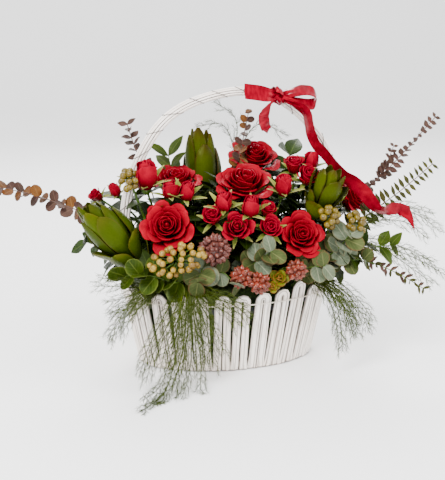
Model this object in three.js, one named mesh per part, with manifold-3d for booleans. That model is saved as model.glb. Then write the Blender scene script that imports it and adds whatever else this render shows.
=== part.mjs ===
// Flower basket arrangement: an oval basket of bent wooden strips with a tall cane handle and a satin
// bow, filled with red roses, spray roses, leucadendron, berries, sedum, eucalyptus and asparagus fern.
//
// Millimetres, +Z up. The origin is under the middle of the basket's base board, +X runs along the
// basket's long side and -Y is its front. Every plant is one solid per spray, head, bloom or stem, with
// its stem standing in a plain hole in the foam. A body cut by its neighbour keeps a small gap to it.

import * as THREE from "three";
import { mergeVertices } from "three/addons/utils/BufferGeometryUtils.js";
import Module from "manifold-3d";

const wasm = await Module();
wasm.setup();

// ---------------------------------------------------------------- driving dimensions

const BASE_HALF = { long: 118, short: 70 };
const RIM_HALF = { long: 141, short: 95 };
const RIM_Z = 110;
const BOARD_THICK = 8;

const LOOPS = 27;
const STRIP_WIDTH = 10.2;
const STRIP_SLOT = 1;
const STRIP_THICK = 3.2;
const LOOP_START = 0.15;
const TALL_LOOPS = { 17: 3, 22: 4, 23: 9 };
const FOOT = { ear: 1.6, z: 14 };
const TWINE = { z: 97, radius: 0.9 };

const LINER = { low: 8.4, high: 88, wall: 1.6, endInset: 14, sideInset: 7 };
const FOAM_TOP = 121;

const HANDLE_SECTION = { across: 5.8, deep: 6.1, swell: 0.22 };
const HANDLE_PATH = [
  [-114, 18], [-133, 105], [-139, 170], [-135, 225], [-118, 276], [-94, 315], [-72, 335], [-45, 349],
  [-4, 360], [26, 362], [60, 357], [97, 334], [124, 307], [139, 285], [153, 245], [158, 200],
  [150, 155], [133, 105], [114, 18],
];

const RIBBON = { width: 20, half: 0.45 };
const GAP = 0.35;
const SMALLEST_EDGE = 0.05;
const LEAF_HALF = 0.6;

// ---------------------------------------------------------------- small tools

const V = (x, y, z) => new THREE.Vector3(x, y, z);
const { lerp, degToRad, clamp } = THREE.MathUtils;
const UP = V(0, 0, 1);
const GOLDEN = Math.PI * (3 - Math.sqrt(5));

// Repeatable random numbers from 0 to 1
function seeded(seed) {
  let state = seed >>> 0;
  return () => {
    state = (state + 0x6d2b79f5) >>> 0;
    let mixed = Math.imul(state ^ (state >>> 15), 1 | state);
    mixed = (mixed + Math.imul(mixed ^ (mixed >>> 7), 61 | mixed)) ^ mixed;
    return ((mixed ^ (mixed >>> 14)) >>> 0) / 4294967296;
  };
}

// A direction: azimuth 0 is the front (-Y) and turns towards +X, elevation is above level, in degrees
function facing(azimuth, elevation) {
  const [turn, rise] = [degToRad(azimuth), degToRad(elevation)];
  return V(Math.sin(turn) * Math.cos(rise), -Math.cos(turn) * Math.cos(rise), Math.sin(rise));
}

// Moves every vertex of a geometry to the place that a function gives for it
function moved(geometry, place) {
  const position = geometry.attributes.position;
  const point = V(0, 0, 0);
  for (let i = 0; i < position.count; i++) {
    point.fromBufferAttribute(position, i);
    const target = place(point);
    position.setXYZ(i, target.x, target.y, target.z);
  }
  return geometry;
}

// Stands a geometry that was made along +Z at a point, looking in a direction
function posed(geometry, point, direction, spin = 0) {
  const turn = new THREE.Quaternion().setFromUnitVectors(UP, direction.clone().normalize());
  const spun = new THREE.Quaternion().setFromAxisAngle(UP, spin);
  return moved(geometry, (p) => p.clone().applyQuaternion(spun).applyQuaternion(turn).add(point));
}

// A tube along a curve; radius(share, angle) gives its radius, and its ends are closed
function tube(curve, radius, sides, steps) {
  const frames = curve.computeFrenetFrames(steps, false);
  return moved(new THREE.CylinderGeometry(1, 1, 1, sides, steps), (p) => {
    const share = clamp(p.y + 0.5, 0, 1);
    const step = Math.round(share * steps);
    const reach = Math.hypot(p.x, p.z);
    const angle = Math.atan2(p.z, p.x);
    const size = reach * radius(share, angle);
    return curve.getPointAt(share)
      .addScaledVector(frames.normals[step], size * Math.cos(angle))
      .addScaledVector(frames.binormals[step], -size * Math.sin(angle));
  });
}

// The middle of such a tube, which is straight between its steps, at a share of the curve's length
function alongTube(curve, share, steps) {
  const step = Math.min(Math.floor(share * steps), steps - 1);
  return curve.getPointAt(step / steps).lerp(curve.getPointAt((step + 1) / steps), share * steps - step);
}

const through = (points) => new THREE.CatmullRomCurve3(points, false, "centripetal");

function taperedTube(points, thick, thin, sides, steps) {
  return tube(through(points), (share) => lerp(thick, thin, share), sides, steps);
}

// A thin body round the surface at(u, v): both faces are split alike, and half is half its thickness
// away from the border, which has the half thickness edge
function thin(cols, rows, at, half, edge = 0) {
  const probe = 0.02;
  const surface = (u, v, side) => {
    const along = at(Math.min(u + probe, 1), v).sub(at(Math.max(u - probe, 0), v));
    const across = at(u, Math.min(v + probe, 1)).sub(at(u, Math.max(v - probe, 0)));
    const normal = along.cross(across).normalize();
    const onBorder = Math.min(u, v, 1 - u, 1 - v) < 1e-6;
    return at(u, v).addScaledVector(normal, side * (onBorder ? edge : half));
  };
  const sheet = (side) => moved(new THREE.PlaneGeometry(1, 1, cols, rows),
    (p) => surface(clamp(p.x + 0.5, 0, 1), clamp(p.y + 0.5, 0, 1), side));
  const round = 2 * (cols + rows);
  const wall = moved(new THREE.PlaneGeometry(1, 1, round, 1), (p) => {
    const step = Math.round((p.x + 0.5) * round);
    const corners = [
      [step / cols, 0],
      [1, (step - cols) / rows],
      [1 - (step - cols - rows) / cols, 1],
      [0, 1 - (step - 2 * cols - rows) / rows],
    ];
    const leg = [cols, cols + rows, 2 * cols + rows, round].findIndex((end) => step <= end);
    return surface(corners[leg][0], corners[leg][1], p.y > 0 ? 1 : -1);
  });
  const under = sheet(-1);
  under.index.array.reverse();
  return [sheet(1), under, wall];
}

function manifold(vertProperties, triangles) {
  const triVerts = Uint32Array.from(triangles);
  return new wasm.Manifold(new wasm.Mesh({ numProp: 3, vertProperties, triVerts }));
}

// One closed geometry, or several that share their borders, as a solid
function solid(pieces) {
  const places = [pieces].flat().flatMap((piece) =>
    [...(piece.index ? piece.toNonIndexed() : piece).attributes.position.array]);
  const joined = new THREE.BufferGeometry();
  joined.setAttribute("position", new THREE.Float32BufferAttribute(places, 3));
  const merged = mergeVertices(joined, 1e-3);
  const corners = merged.index.array;
  const kept = [];
  for (let i = 0; i < corners.length; i += 3) {
    const [a, b, c] = [corners[i], corners[i + 1], corners[i + 2]];
    if (a !== b && b !== c && c !== a) kept.push(a, b, c);
  }
  const vertices = Float32Array.from(merged.attributes.position.array);
  const body = manifold(vertices, kept);
  return body.volume() > 0 ? body : manifold(vertices, kept.reverse());
}

const fuse = (pieces) => wasm.Manifold.union(pieces.map((piece) => solid(piece)));

// The largest of a solid's separate bodies, with any sealed hollow filled
function largest(body) {
  return body.decompose().reduce((best, part) => (part.volume() > best.volume() ? part : best));
}

function geometryOf(body) {
  const mesh = body.getMesh();
  const geometry = new THREE.BufferGeometry();
  geometry.setAttribute("position", new THREE.BufferAttribute(mesh.vertProperties, 3));
  geometry.setIndex(new THREE.BufferAttribute(mesh.triVerts, 1));
  return geometry;
}

// A copy of a solid whose surface stands out by the gap
function swollen(body) {
  const geometry = geometryOf(body);
  geometry.computeVertexNormals();
  const { position, normal } = geometry.attributes;
  const vertices = position.array.map((value, i) => value + GAP * normal.array[i]);
  return manifold(vertices, geometry.index.array);
}

// ---------------------------------------------------------------- oval basket

const share = (z) => z / RIM_Z;
const halfLong = (z) => lerp(BASE_HALF.long, RIM_HALF.long, share(z));
const halfShort = (z) => lerp(BASE_HALF.short, RIM_HALF.short, share(z));
const rimOval = new THREE.EllipseCurve(0, 0, RIM_HALF.long, RIM_HALF.short);
const baseOval = new THREE.EllipseCurve(0, 0, BASE_HALF.long, BASE_HALF.short);
const girth = (z) => lerp(baseOval.getLength(), rimOval.getLength(), share(z));

// Point of the wall: way is the share of the way round from +X, out is outside the strips' inner face
function wallPoint(way, z, out) {
  const angle = rimOval.getUtoTmapping(((way % 1) + 1) % 1) * 2 * Math.PI;
  const [a, b] = [halfLong(z), halfShort(z)];
  const normal = V(Math.cos(angle) / a, Math.sin(angle) / b, 0).normalize();
  return V(a * Math.cos(angle), b * Math.sin(angle), z).addScaledVector(normal, out);
}

// A closed ring round the wall, with its section given as [out, z] corners
function wallRing(section, segments) {
  const corners = [...section, section[0]].map(([out, z]) => new THREE.Vector2(100 + out, z));
  return moved(new THREE.LatheGeometry(corners, segments), (p) => {
    const way = Math.atan2(p.x, p.z) / (2 * Math.PI);
    return wallPoint(way, p.y, Math.hypot(p.x, p.z) - 100);
  });
}

// An oval solid of revolution: profile [long half, z] from axis to axis, short half by ratio(z)
function ovalSolid(profile, ratio, segments) {
  const points = profile.map(([half, z]) => new THREE.Vector2(half, z));
  return moved(new THREE.LatheGeometry(points, segments), (p) => V(p.z, p.x * ratio(p.y), p.y));
}

// One strip bent over into a narrow arch, so that its two legs stand side by side, wrapped on the wall
function stripLoop(number, rise, lean, out) {
  const outer = STRIP_WIDTH + STRIP_SLOT / 2;
  const outline = new THREE.Shape();
  outline.moveTo(-outer - FOOT.ear, 0);
  outline.lineTo(-outer, FOOT.z);
  outline.lineTo(-outer, rise);
  outline.absarc(0, rise, outer, Math.PI, 0, true);
  outline.lineTo(outer, FOOT.z);
  outline.lineTo(outer + FOOT.ear, 0);
  const slot = new THREE.Path();
  slot.moveTo(-STRIP_SLOT / 2, FOOT.z);
  slot.lineTo(STRIP_SLOT / 2, FOOT.z);
  slot.lineTo(STRIP_SLOT, rise);
  slot.lineTo(-STRIP_SLOT, rise);
  outline.holes.push(slot);
  const flat = new THREE.ExtrudeGeometry(outline, {
    depth: STRIP_THICK,
    steps: 1,
    curveSegments: 2,
    bevelEnabled: false,
  });
  return moved(flat, (p) => {
    const way = (number + LOOP_START) / LOOPS + (p.x + lean * share(p.y)) / girth(Math.min(p.y, RIM_Z));
    return wallPoint(way, p.y, p.z + out * share(p.y));
  });
}

function basketStakes() {
  const random = seeded(11);
  const pieces = [];
  for (let number = 0; number < LOOPS; number++) {
    const rise = RIM_Z - STRIP_WIDTH + 5 * (random() - 0.5) + (TALL_LOOPS[number] ?? 0);
    const lean = 3 * (random() - 0.5);
    pieces.push(stripLoop(number, rise, lean, 0.8 * random()));
  }
  return fuse(pieces);
}

function rimTwine() {
  const out = STRIP_THICK + 1.9;
  const { z, radius } = TWINE;
  return fuse([wallRing([[out, z - radius], [out + 2 * radius, z], [out, z + radius]], 40)]);
}

function basketBase() {
  const slack = 1.5;
  const ratio = (z) => (halfShort(z) - slack) / (halfLong(z) - slack);
  const top = BOARD_THICK;
  return fuse([ovalSolid(
    [[0, 0], [halfLong(0) - slack, 0], [halfLong(top) - slack, top], [0, top]], ratio, 40)]);
}

const linerLong = (z) => halfLong(z) - LINER.endInset;
const linerRatio = (z) => (halfShort(z) - LINER.sideInset) / linerLong(z);

function liner() {
  const { low, high, wall } = LINER;
  const floor = low + wall;
  return fuse([ovalSolid([
    [0, low], [linerLong(low) - 4, low], [linerLong(low + 4), low + 4], [linerLong(high), high],
    [linerLong(high) - wall, high], [linerLong(floor + 4) - wall, floor + 4],
    [linerLong(floor) - wall - 5, floor], [0, floor],
  ], linerRatio, 24)]);
}

function foam() {
  const slack = LINER.wall + 1;
  const low = LINER.low + LINER.wall + 0.6;
  const brim = linerLong(LINER.high) - slack;
  return fuse([ovalSolid([
    [0, low], [linerLong(low) - slack - 6, low], [brim, LINER.high - 2], [brim * 0.92, FOAM_TOP - 17],
    [brim * 0.72, FOAM_TOP - 7], [brim * 0.4, FOAM_TOP - 1.5], [0, FOAM_TOP],
  ], linerRatio, 20)]);
}

// ---------------------------------------------------------------- handle

const handleCurve = through(HANDLE_PATH.map(([x, z]) => V(x, 0, z)));

// A bundle of four canes, which shows as four lobes and is looser down the left side
function handle() {
  const { across, deep, swell } = HANDLE_SECTION;
  const steps = 22;
  const frames = handleCurve.computeFrenetFrames(steps, false);
  const startsAcross = Math.abs(frames.normals[0].y) > 0.5;
  return fuse([tube(handleCurve, (way, angle) => {
    const sideways = startsAcross ? Math.cos(angle) : Math.sin(angle);
    const size = 1 / Math.hypot(sideways / across, Math.sqrt(1 - sideways ** 2) / deep);
    const loose = 1 + swell * Math.sin(2 * Math.PI * Math.min(way, 0.5));
    return size * loose * (0.92 + 0.08 * Math.cos(4 * angle));
  }, 8, steps)]);
}

// ---------------------------------------------------------------- ribbon

// A flat band through points, with its width along the given side directions
function band(points, sides, steps) {
  const middle = through(points);
  const aside = new THREE.CatmullRomCurve3(sides, false, "catmullrom", 0.3);
  const at = (u, v) => middle.getPoint(v)
    .addScaledVector(aside.getPoint(v).normalize(), (u - 0.5) * RIBBON.width);
  return thin(1, steps, at, RIBBON.half, RIBBON.half);
}

const KNOT = V(68, -14, 357);
const TAIL = [
  V(72, -18, 352), V(90, -24, 344), V(102, -28, 334), V(105, -30, 320), V(107, -34, 307),
  V(113, -40, 292), V(121, -50, 282), V(130, -62, 268), V(140, -72, 255), V(151, -79, 247),
  V(164, -87, 233), V(174, -93, 219), V(184, -98, 211), V(197, -102, 214), V(209, -105, 213),
  V(219, -107, 203), V(227, -108, 185),
];
// How much of the tail's width shows from the front left at each of its points
const TAIL_SHOWN = [
  0.75, 0.7, 0.65, 0.7, 0.7, 0.5, 0.6, 0.5, 0.62, 0.85, 0.9, 0.7, 0.35, 0.7, 0.6, 0.9, 0.98,
];

function tailSides() {
  const line = through(TAIL);
  return TAIL_SHOWN.map((shown, i) => {
    const tangent = line.getTangent(i / (TAIL.length - 1));
    const across = tangent.clone().cross(facing(-15, 13)).normalize();
    const deep = across.clone().cross(tangent);
    return across.multiplyScalar(-shown).addScaledVector(deep, Math.sqrt(1 - shown ** 2));
  });
}

function ribbon() {
  const upright = V(0, 0.15, 1);
  const slanted = V(0.1, 0.75, 0.6);
  const left = band(
    [KNOT, V(52, -20.5, 358), V(36, -19.5, 361), V(21, -15, 363), V(37, -10.5, 361), V(52, -9.8, 359),
      KNOT],
    [V(0, 0, 1), upright, upright, upright, upright, upright, V(0, 0, 1)], 8);
  const right = band(
    [KNOT, V(86, -13, 360), V(102, -15, 363), V(115, -19, 360), V(118, -22, 352), V(112, -24, 345),
      V(98, -22, 346), V(84, -20, 349), KNOT],
    [V(0, 0.4, 1), slanted, slanted, slanted, V(0.3, 0.8, 0.2), slanted, slanted, slanted,
      V(0, 0.4, 1)], 10);
  const short = band(
    [KNOT, V(57, -21, 350), V(48, -25, 343), V(44, -27, 332), V(46, -26, 319), V(50, -25, 308)],
    [V(0.6, 0, 0.8), V(0.7, 0.3, 0.6), V(0.8, 0.4, 0.4), V(0.9, 0.5, 0.1), V(0.8, 0.5, 0.1),
      V(0.6, 0.6, 0.1)], 6);
  const tail = band(TAIL, tailSides(), 20);
  const knot = posed(new THREE.IcosahedronGeometry(9, 0), KNOT, UP);
  moved(knot, (p) => V(p.x, lerp(KNOT.y, p.y, 0.78), lerp(KNOT.z, p.z, 1.35)));
  const turn = handleCurve.getTangentAt(handleWay(KNOT.x));
  const round = [];
  const collar = { across: HANDLE_SECTION.across + 1.9, deep: HANDLE_SECTION.deep + 1.9 };
  for (let i = 0; i <= 8; i++) {
    const angle = (i / 8) * 2 * Math.PI;
    const rise = V(0, 1, 0).cross(turn);
    round.push(handleCurve.getPointAt(handleWay(KNOT.x))
      .addScaledVector(V(0, 1, 0), -Math.cos(angle) * collar.across)
      .addScaledVector(rise, Math.sin(angle) * collar.deep));
  }
  const wrap = band(round, round.map(() => turn), 8);
  return fuse([left, right, short, tail, knot, wrap]);
}

// Share of the handle's length at which it reaches x
function handleWay(x) {
  let [low, high] = [0.4, 0.9];
  for (let i = 0; i < 30; i++) {
    const middle = (low + high) / 2;
    if (handleCurve.getPointAt(middle).x < x) low = middle;
    else high = middle;
  }
  return (low + high) / 2;
}

// ---------------------------------------------------------------- leaves and stems

// A leaf blade from its base along a direction, with its face towards normal. Round leaves are discs,
// others are pointed; curl bends the tip back and fold raises both halves
function blade(base, direction, normal, length, width, options = {}) {
  const { rows = 4, curl = 0.12, fold = 0.12, round = false, half = LEAF_HALF } = options;
  const ahead = direction.clone().normalize();
  const side = ahead.clone().cross(normal).normalize();
  const face = side.clone().cross(ahead);
  return thin(2, rows, (u, v) => {
    const way = round ? (1 - Math.cos(Math.PI * v)) / 2 : v;
    const broad = (width / 2) * Math.sin(Math.PI * (round ? v : v ** 0.85));
    const x = (2 * u - 1) * broad;
    const lift = fold * Math.abs(x) - curl * length * way * way;
    return base.clone()
      .addScaledVector(ahead, way * length)
      .addScaledVector(side, x)
      .addScaledVector(face, lift);
  }, half);
}

// Where a stem that comes from a point enters the foam, and how it goes on below
function intoFoam(point, pull = 0.55) {
  const entry = V(point.x * pull, point.y * pull, FOAM_TOP - 10);
  const end = V(point.x * pull * 0.8, point.y * pull * 0.8, FOAM_TOP - 55);
  return [entry, end];
}

// A stem with pairs of leaves that look along it, each pair turned from the last
function leafyStem(path, options) {
  const {
    pairs, size, seed, first = 0.25, last = 0.97, shrink = 0.6, lift = 40, turn = 90, start = 0,
    radius = 1.4, steps = 4, rows = 4, round = false, curl = 0.1, fold = 0.1, look = null,
  } = options;
  const random = seeded(seed);
  const curve = through(path);
  const pieces = [tube(curve, (way) => lerp(radius, radius * 0.6, way), 3, steps)];
  for (let i = 0; i < pairs; i++) {
    const way = pairs > 1 ? lerp(first, last, i / (pairs - 1)) : last;
    const tangent = curve.getTangentAt(way);
    const across = tangent.clone().cross(Math.abs(tangent.z) > 0.9 ? V(0, 1, 0) : UP).normalize();
    const angle = degToRad(start + turn * i + 24 * (random() - 0.5));
    across.applyAxisAngle(tangent, angle);
    const rise = degToRad(lift + 14 * (random() - 0.5));
    const scale = lerp(1, shrink, i / Math.max(pairs - 1, 1)) * (0.9 + 0.2 * random());
    for (const hand of [1, -1]) {
      const direction = across.clone().multiplyScalar(hand * Math.cos(rise))
        .addScaledVector(tangent, Math.sin(rise));
      const normal = look ?? tangent.clone().addScaledVector(across, -hand * Math.tan(rise) * 0.5);
      const root = alongTube(curve, way, steps).addScaledVector(direction, -0.1 * radius);
      pieces.push(blade(root, direction, normal, size[0] * scale, size[1] * scale,
        { rows, round, curl, fold }));
    }
  }
  return fuse(pieces);
}

// ---------------------------------------------------------------- roses

// Petal of a rose that looks along +Z: open is 0 for an inner petal and 1 for the outermost
function petal(radius, open, turn, span, wave, rows) {
  const profile = new THREE.SplineCurve([
    new THREE.Vector2(0.12, -0.1 - 0.2 * open),
    new THREE.Vector2(0.36 + 0.2 * open, -0.02 - 0.16 * open),
    new THREE.Vector2(0.4 + 0.42 * open, 0.28 - 0.08 * open),
    new THREE.Vector2(0.34 + 0.66 * open, 0.56 - 0.34 * open),
  ]);
  return thin(2, rows, (u, v) => {
    const aside = 2 * u - 1;
    const { x: out, y: rise } = profile.getPoint(v - 0.05 * v * aside * aside);
    const angle = turn + aside * span * (0.55 + 0.45 * Math.sin(Math.PI * Math.min(v, 0.75)));
    const reach = radius * (out + 0.03 * aside + wave * v * Math.abs(aside));
    return V(reach * Math.cos(angle), reach * Math.sin(angle), radius * rise);
  }, 0.7);
}

// Heart of a rose: a closed bud that the petals stand out of
const HEART = [[0, -0.5], [0.34, -0.25], [0.31, 0.3], [0.14, 0.5], [0, 0.44]];
// Closed bud of a spray rose, with the sepals as a flared cup under it
const BUD = [[0, -0.55], [0.44, -0.4], [0.34, -0.2], [0.35, 0.15], [0, 0.6]];

function turned(profile, radius, sides) {
  const points = profile.map(([r, h]) => new THREE.Vector2(r * radius, h * radius));
  return new THREE.LatheGeometry(points, sides).rotateX(Math.PI / 2);
}

// Bloom with its petals in layers, each [openness, number of petals]
function bloom(radius, layers, seed, rows = 2) {
  const random = seeded(seed);
  const pieces = [turned(HEART, radius, 5)];
  layers.forEach(([open, count], layer) => {
    const begin = random() * 2 * Math.PI;
    for (let i = 0; i < count; i++) {
      const turn = begin + ((i + 0.3 * (random() - 0.5)) * 2 * Math.PI) / count;
      const span = (1.12 * Math.PI) / Math.max(count, 3);
      pieces.push(petal(radius, open + 0.06 * random(), turn, span, 0.05 * (random() - 0.5), rows));
    }
  });
  return pieces;
}

const LARGE_LAYERS = [[0.32, 3], [0.92, 5]];
const roses = [
  { at: V(-94, -62, 197), face: facing(-18, 30), radius: 36 },
  { at: V(-66, 12, 242), face: facing(-15, 66), radius: 35 },
  { at: V(15, -37, 243), face: facing(-5, 61), radius: 40 },
  { at: V(49, 25, 267), face: facing(4, 66), radius: 35 },
  { at: V(74, -94, 183), face: facing(-5, 28), radius: 32 },
  { at: V(162, -46, 219), face: facing(48, 35), radius: 29 },
  { at: V(-50, 74, 194), face: facing(196, 38), radius: 35 },
];

function largeRose(number) {
  const { at, face, radius } = roses[number];
  const placed = bloom(radius, LARGE_LAYERS, 100 + number)
    .map((piece) => [piece].flat().map((part) => posed(part, at, face)));
  return fuse(placed);
}

// Green cup, five sepals and a stem down into the foam
function roseStem(number) {
  const { at, face, radius } = roses[number];
  const neck = at.clone().addScaledVector(face, -0.5 * radius);
  const below = neck.clone().addScaledVector(face, -14).add(V(0, 0, -6));
  const pieces = [taperedTube([neck, below, ...intoFoam(below)], 3.4, 2.8, 4, 3)];
  for (let i = 0; i < 5; i++) {
    const outward = V(1, 0, 0).applyAxisAngle(UP, (i * 2 * Math.PI) / 5);
    const sepal = blade(outward.clone().multiplyScalar(1.2), outward.clone().add(V(0, 0, 0.1)), UP,
      0.75 * radius, 8, { rows: 2, curl: -0.25 });
    pieces.push(sepal.map((part) => posed(part, neck, face)));
  }
  return fuse(pieces);
}

// ---------------------------------------------------------------- spray roses

// Small rose or bud of the given radius, made along +Z
function smallRose(radius, open, seed) {
  const full = radius / (0.35 + 0.65 * open);
  return open < 0.3 ? [turned(BUD, 1.25 * full, 5)] : bloom(full, [[open, 4]], seed);
}

// A branched stem: each head is [place, direction, radius, openness]
function spray(fork, heads, seed) {
  const pieces = [taperedTube([fork, ...intoFoam(fork, 0.62)], 2.2, 2, 3, 2)];
  heads.forEach(([place, direction, radius, open], i) => {
    const deep = (radius / (0.35 + 0.65 * open)) * 0.45;
    const neck = place.clone().addScaledVector(direction, -deep);
    const below = neck.clone().addScaledVector(direction, -10).lerp(fork, 0.25);
    pieces.push(taperedTube([neck, below, fork], 1.6, 1.6, 3, 1));
    for (const piece of smallRose(radius, open, seed + i)) {
      pieces.push([piece].flat().map((part) => posed(part, place, direction)));
    }
  });
  return fuse(pieces);
}

const sprays = {
  spray_rose_left: [V(-92, -18, 187), [
    [V(-114, -22, 255), facing(-20, 72), 8.5, 0],
    [V(-85, -36, 240), facing(-10, 66), 8, 0.1],
    [V(-64, -41, 237), facing(10, 55), 9, 0.15],
  ]],
  spray_rose_far_left: [V(-112, 14, 187), [
    [V(-172, 19, 227), facing(-70, 42), 8, 0.2],
    [V(-148, 17, 233), facing(-50, 55), 5, 0],
  ]],
  spray_rose_middle: [V(-12, -56, 167), [
    [V(-38, -74, 210), facing(-28, 45), 11, 0.25],
    [V(-24, -76, 228), facing(-16, 62), 7, 0],
    [V(-10, -88, 197), facing(-12, 30), 16.5, 0.75],
    [V(8, -86, 222), facing(0, 60), 7.5, 0],
  ]],
  spray_rose_right: [V(40, -52, 171), [
    [V(34, -79, 216), facing(5, 55), 9, 0.2],
    [V(32, -95, 196), facing(-6, 30), 12, 0.55],
    [V(60, -65, 243), facing(8, 68), 9, 0.15],
  ]],
  spray_rose_top: [V(84, -22, 201), [
    [V(84, -36, 265), facing(-12, 68), 11, 0.28],
    [V(96, -56, 253), facing(8, 48), 13, 0.6],
    [V(106, -42, 270), facing(30, 72), 6, 0],
  ]],
};

// ---------------------------------------------------------------- leucadendron, berries, sedum

// A cone of overlapping bracts on a slim core, from a base to a tip
function leucadendron(base, tip, radius, count, spread, seed) {
  const random = seeded(seed);
  const axis = tip.clone().sub(base);
  const length = axis.length();
  axis.normalize();
  const core = new THREE.LatheGeometry([[0, -0.02], [0.5, 0.2], [0.4, 0.7], [0, 0.86]]
    .map(([r, h]) => new THREE.Vector2(r * radius, h * length)), 5).rotateX(Math.PI / 2);
  const pieces = [posed(core, base, axis)];
  for (let i = 0; i < count; i++) {
    const way = i / (count - 1);
    const turn = i * GOLDEN;
    const outward = V(Math.cos(turn), Math.sin(turn), 0);
    const sprung = lerp(spread, 0.05, way);
    const root = outward.clone().multiplyScalar(radius * lerp(0.36, 0.3, way));
    root.z = length * lerp(0.04, 0.3, way);
    const direction = V(outward.x * Math.sin(sprung), outward.y * Math.sin(sprung), Math.cos(sprung));
    const reach = length * lerp(0.66, 0.7, way) * (0.92 + 0.16 * random());
    const bract = blade(root, direction, outward.clone().negate(), reach, radius * lerp(1.05, 0.9, way),
      { rows: 2, curl: -0.28, fold: 0.34, half: 1.1 });
    pieces.push(bract.map((part) => posed(part, base, axis)));
  }
  const below = base.clone().addScaledVector(axis, -12);
  pieces.push(taperedTube([base.clone().addScaledVector(axis, 6), below, ...intoFoam(below, 0.6)],
    3.4, 3, 5, 4));
  return fuse(pieces);
}

// Round fruits that stand out of a slim core, spread over the side of an oval head that looks along
// a direction
function fruitHead(centre, direction, half, count, radius, seed) {
  const random = seeded(seed);
  const core = new THREE.IcosahedronGeometry(1, 0)
    .scale(half[0] * 0.98, half[1] * 0.98, half[2] * 0.95);
  const pieces = [posed(core, centre, direction)];
  for (let i = 0; i < count; i++) {
    const height = 1 - (1.1 * (i + 0.5)) / count;
    const ring = Math.sqrt(1 - height * height);
    const size = radius * (0.9 + 0.2 * random());
    const fruit = new THREE.IcosahedronGeometry(size, 0).rotateX(3 * random());
    fruit.translate(ring * Math.cos(i * GOLDEN) * half[0] * 0.95,
      ring * Math.sin(i * GOLDEN) * half[1] * 0.95, height * half[2]);
    pieces.push(posed(fruit, centre, direction));
  }
  return pieces;
}

function berries(heads, fork, seed) {
  const pieces = [taperedTube([fork, ...intoFoam(fork, 0.7)], 1.8, 1.8, 3, 2)];
  heads.forEach(([centre, direction, half, count], i) => {
    pieces.push(...fruitHead(centre, direction, half, count, 4.8, seed + i));
    const foot = centre.clone().addScaledVector(direction, -0.5 * half[2]);
    pieces.push(taperedTube([foot, fork], 1.6, 1.8, 3, 2));
  });
  return fuse(pieces);
}

// Tight heads of fleshy buds on a core
function sedum(heads, fork, seed) {
  const random = seeded(seed);
  const pieces = [taperedTube([fork, ...intoFoam(fork, 0.7)], 2, 2, 4, 3)];
  for (const [centre, direction, radius, count] of heads) {
    pieces.push(new THREE.IcosahedronGeometry(radius * 0.78, 0).translate(centre.x, centre.y, centre.z));
    for (let i = 0; i < count; i++) {
      const height = 1 - (1.7 * (i + 0.5)) / count;
      const ring = Math.sqrt(1 - height * height);
      const outward = V(ring * Math.cos(i * GOLDEN), ring * Math.sin(i * GOLDEN), height);
      const bud = new THREE.OctahedronGeometry(radius * (0.3 + 0.05 * random()), 0);
      moved(bud, (p) => V(p.x, p.y, p.z * 1.3));
      posed(bud, outward.clone().multiplyScalar(radius * 0.78), outward, 3 * random());
      pieces.push(posed(bud, centre, direction));
    }
    pieces.push(taperedTube([centre, centre.clone().lerp(fork, 0.5).add(V(0, 0, -2)), fork], 1.8, 2, 4, 2));
  }
  return fuse(pieces);
}

// ---------------------------------------------------------------- asparagus fern

// Strands that arch from a common stem to their tips, with fine needles all along both sides
function fern(root, strands, options) {
  const { seed, needles, length } = options;
  const random = seeded(seed);
  const pieces = [taperedTube([root, ...intoFoam(root, 0.8)], 1.5, 1.5, 3, 2)];
  for (const points of strands) {
    const curve = through([root, ...points]);
    const steps = 2 + points.length;
    pieces.push(tube(curve, (way) => lerp(1.1, 0.5, way), 3, steps));
    for (let i = 0; i < needles; i++) {
      const way = lerp(0.22, 0.99, (i + 0.6 * random()) / needles);
      const point = alongTube(curve, way, steps);
      const tangent = curve.getTangentAt(way);
      const across = tangent.clone().cross(facing(-15, 13)).normalize();
      across.applyAxisAngle(tangent, 1.2 * (random() - 0.5)).multiplyScalar(i % 2 ? 1 : -1);
      const direction = across.multiplyScalar(0.75).add(tangent).normalize();
      const reach = length * (0.7 + 0.6 * random()) * lerp(1, 0.55, way);
      if (point.z + direction.z * reach < 1.2) direction.z = (1.2 - point.z) / reach;
      const needle = new THREE.OctahedronGeometry(1, 0).scale(0.95, 0.95, reach / 2);
      needle.translate(0, 0, reach / 2 - 0.2);
      pieces.push(posed(needle, point, direction, 3 * random()));
    }
  }
  return fuse(pieces);
}

// ---------------------------------------------------------------- the arrangement

const finish = {
  strip: { color: 0xe9e4de, roughness: 0.75 },
  twine: { color: 0xd9d2c8, roughness: 0.85 },
  board: { color: 0xcfc6ba, roughness: 0.8 },
  liner: { color: 0x3c4043, roughness: 0.45 },
  foam: { color: 0x2f4a2a, roughness: 0.95 },
  satin: { color: 0xc8102a, roughness: 0.35 },
  rose: { color: 0xb3091a, roughness: 0.6 },
  stem: { color: 0x4f6b2c, roughness: 0.6 },
  bract: { color: 0x5f7d2a, roughness: 0.5 },
  berry: { color: 0xc7a24e, roughness: 0.45 },
  sedum: { color: 0xb5545a, roughness: 0.6 },
  silver: { color: 0x7d9682, roughness: 0.65 },
  roundLeaf: { color: 0x4b7330, roughness: 0.4 },
  darkLeaf: { color: 0x24461f, roughness: 0.35 },
  brownLeaf: { color: 0x6a4745, roughness: 0.6 },
  fern: { color: 0x4a6d2c, roughness: 0.7 },
};

const nodes = [];
const add = (name, look, body) => nodes.push({ name, look, body });

add("basket_stakes", finish.strip, basketStakes());
add("rim_twine", finish.twine, rimTwine());
add("basket_base", finish.board, basketBase());
add("basket_liner", finish.liner, liner());
add("handle_canes", finish.strip, handle());
add("ribbon", finish.satin, ribbon());

roses.forEach((rose, i) => add(`rose_${i + 1}`, finish.rose, largeRose(i)));
roses.forEach((rose, i) => add(`rose_${i + 1}_stem`, finish.stem, roseStem(i)));

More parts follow.
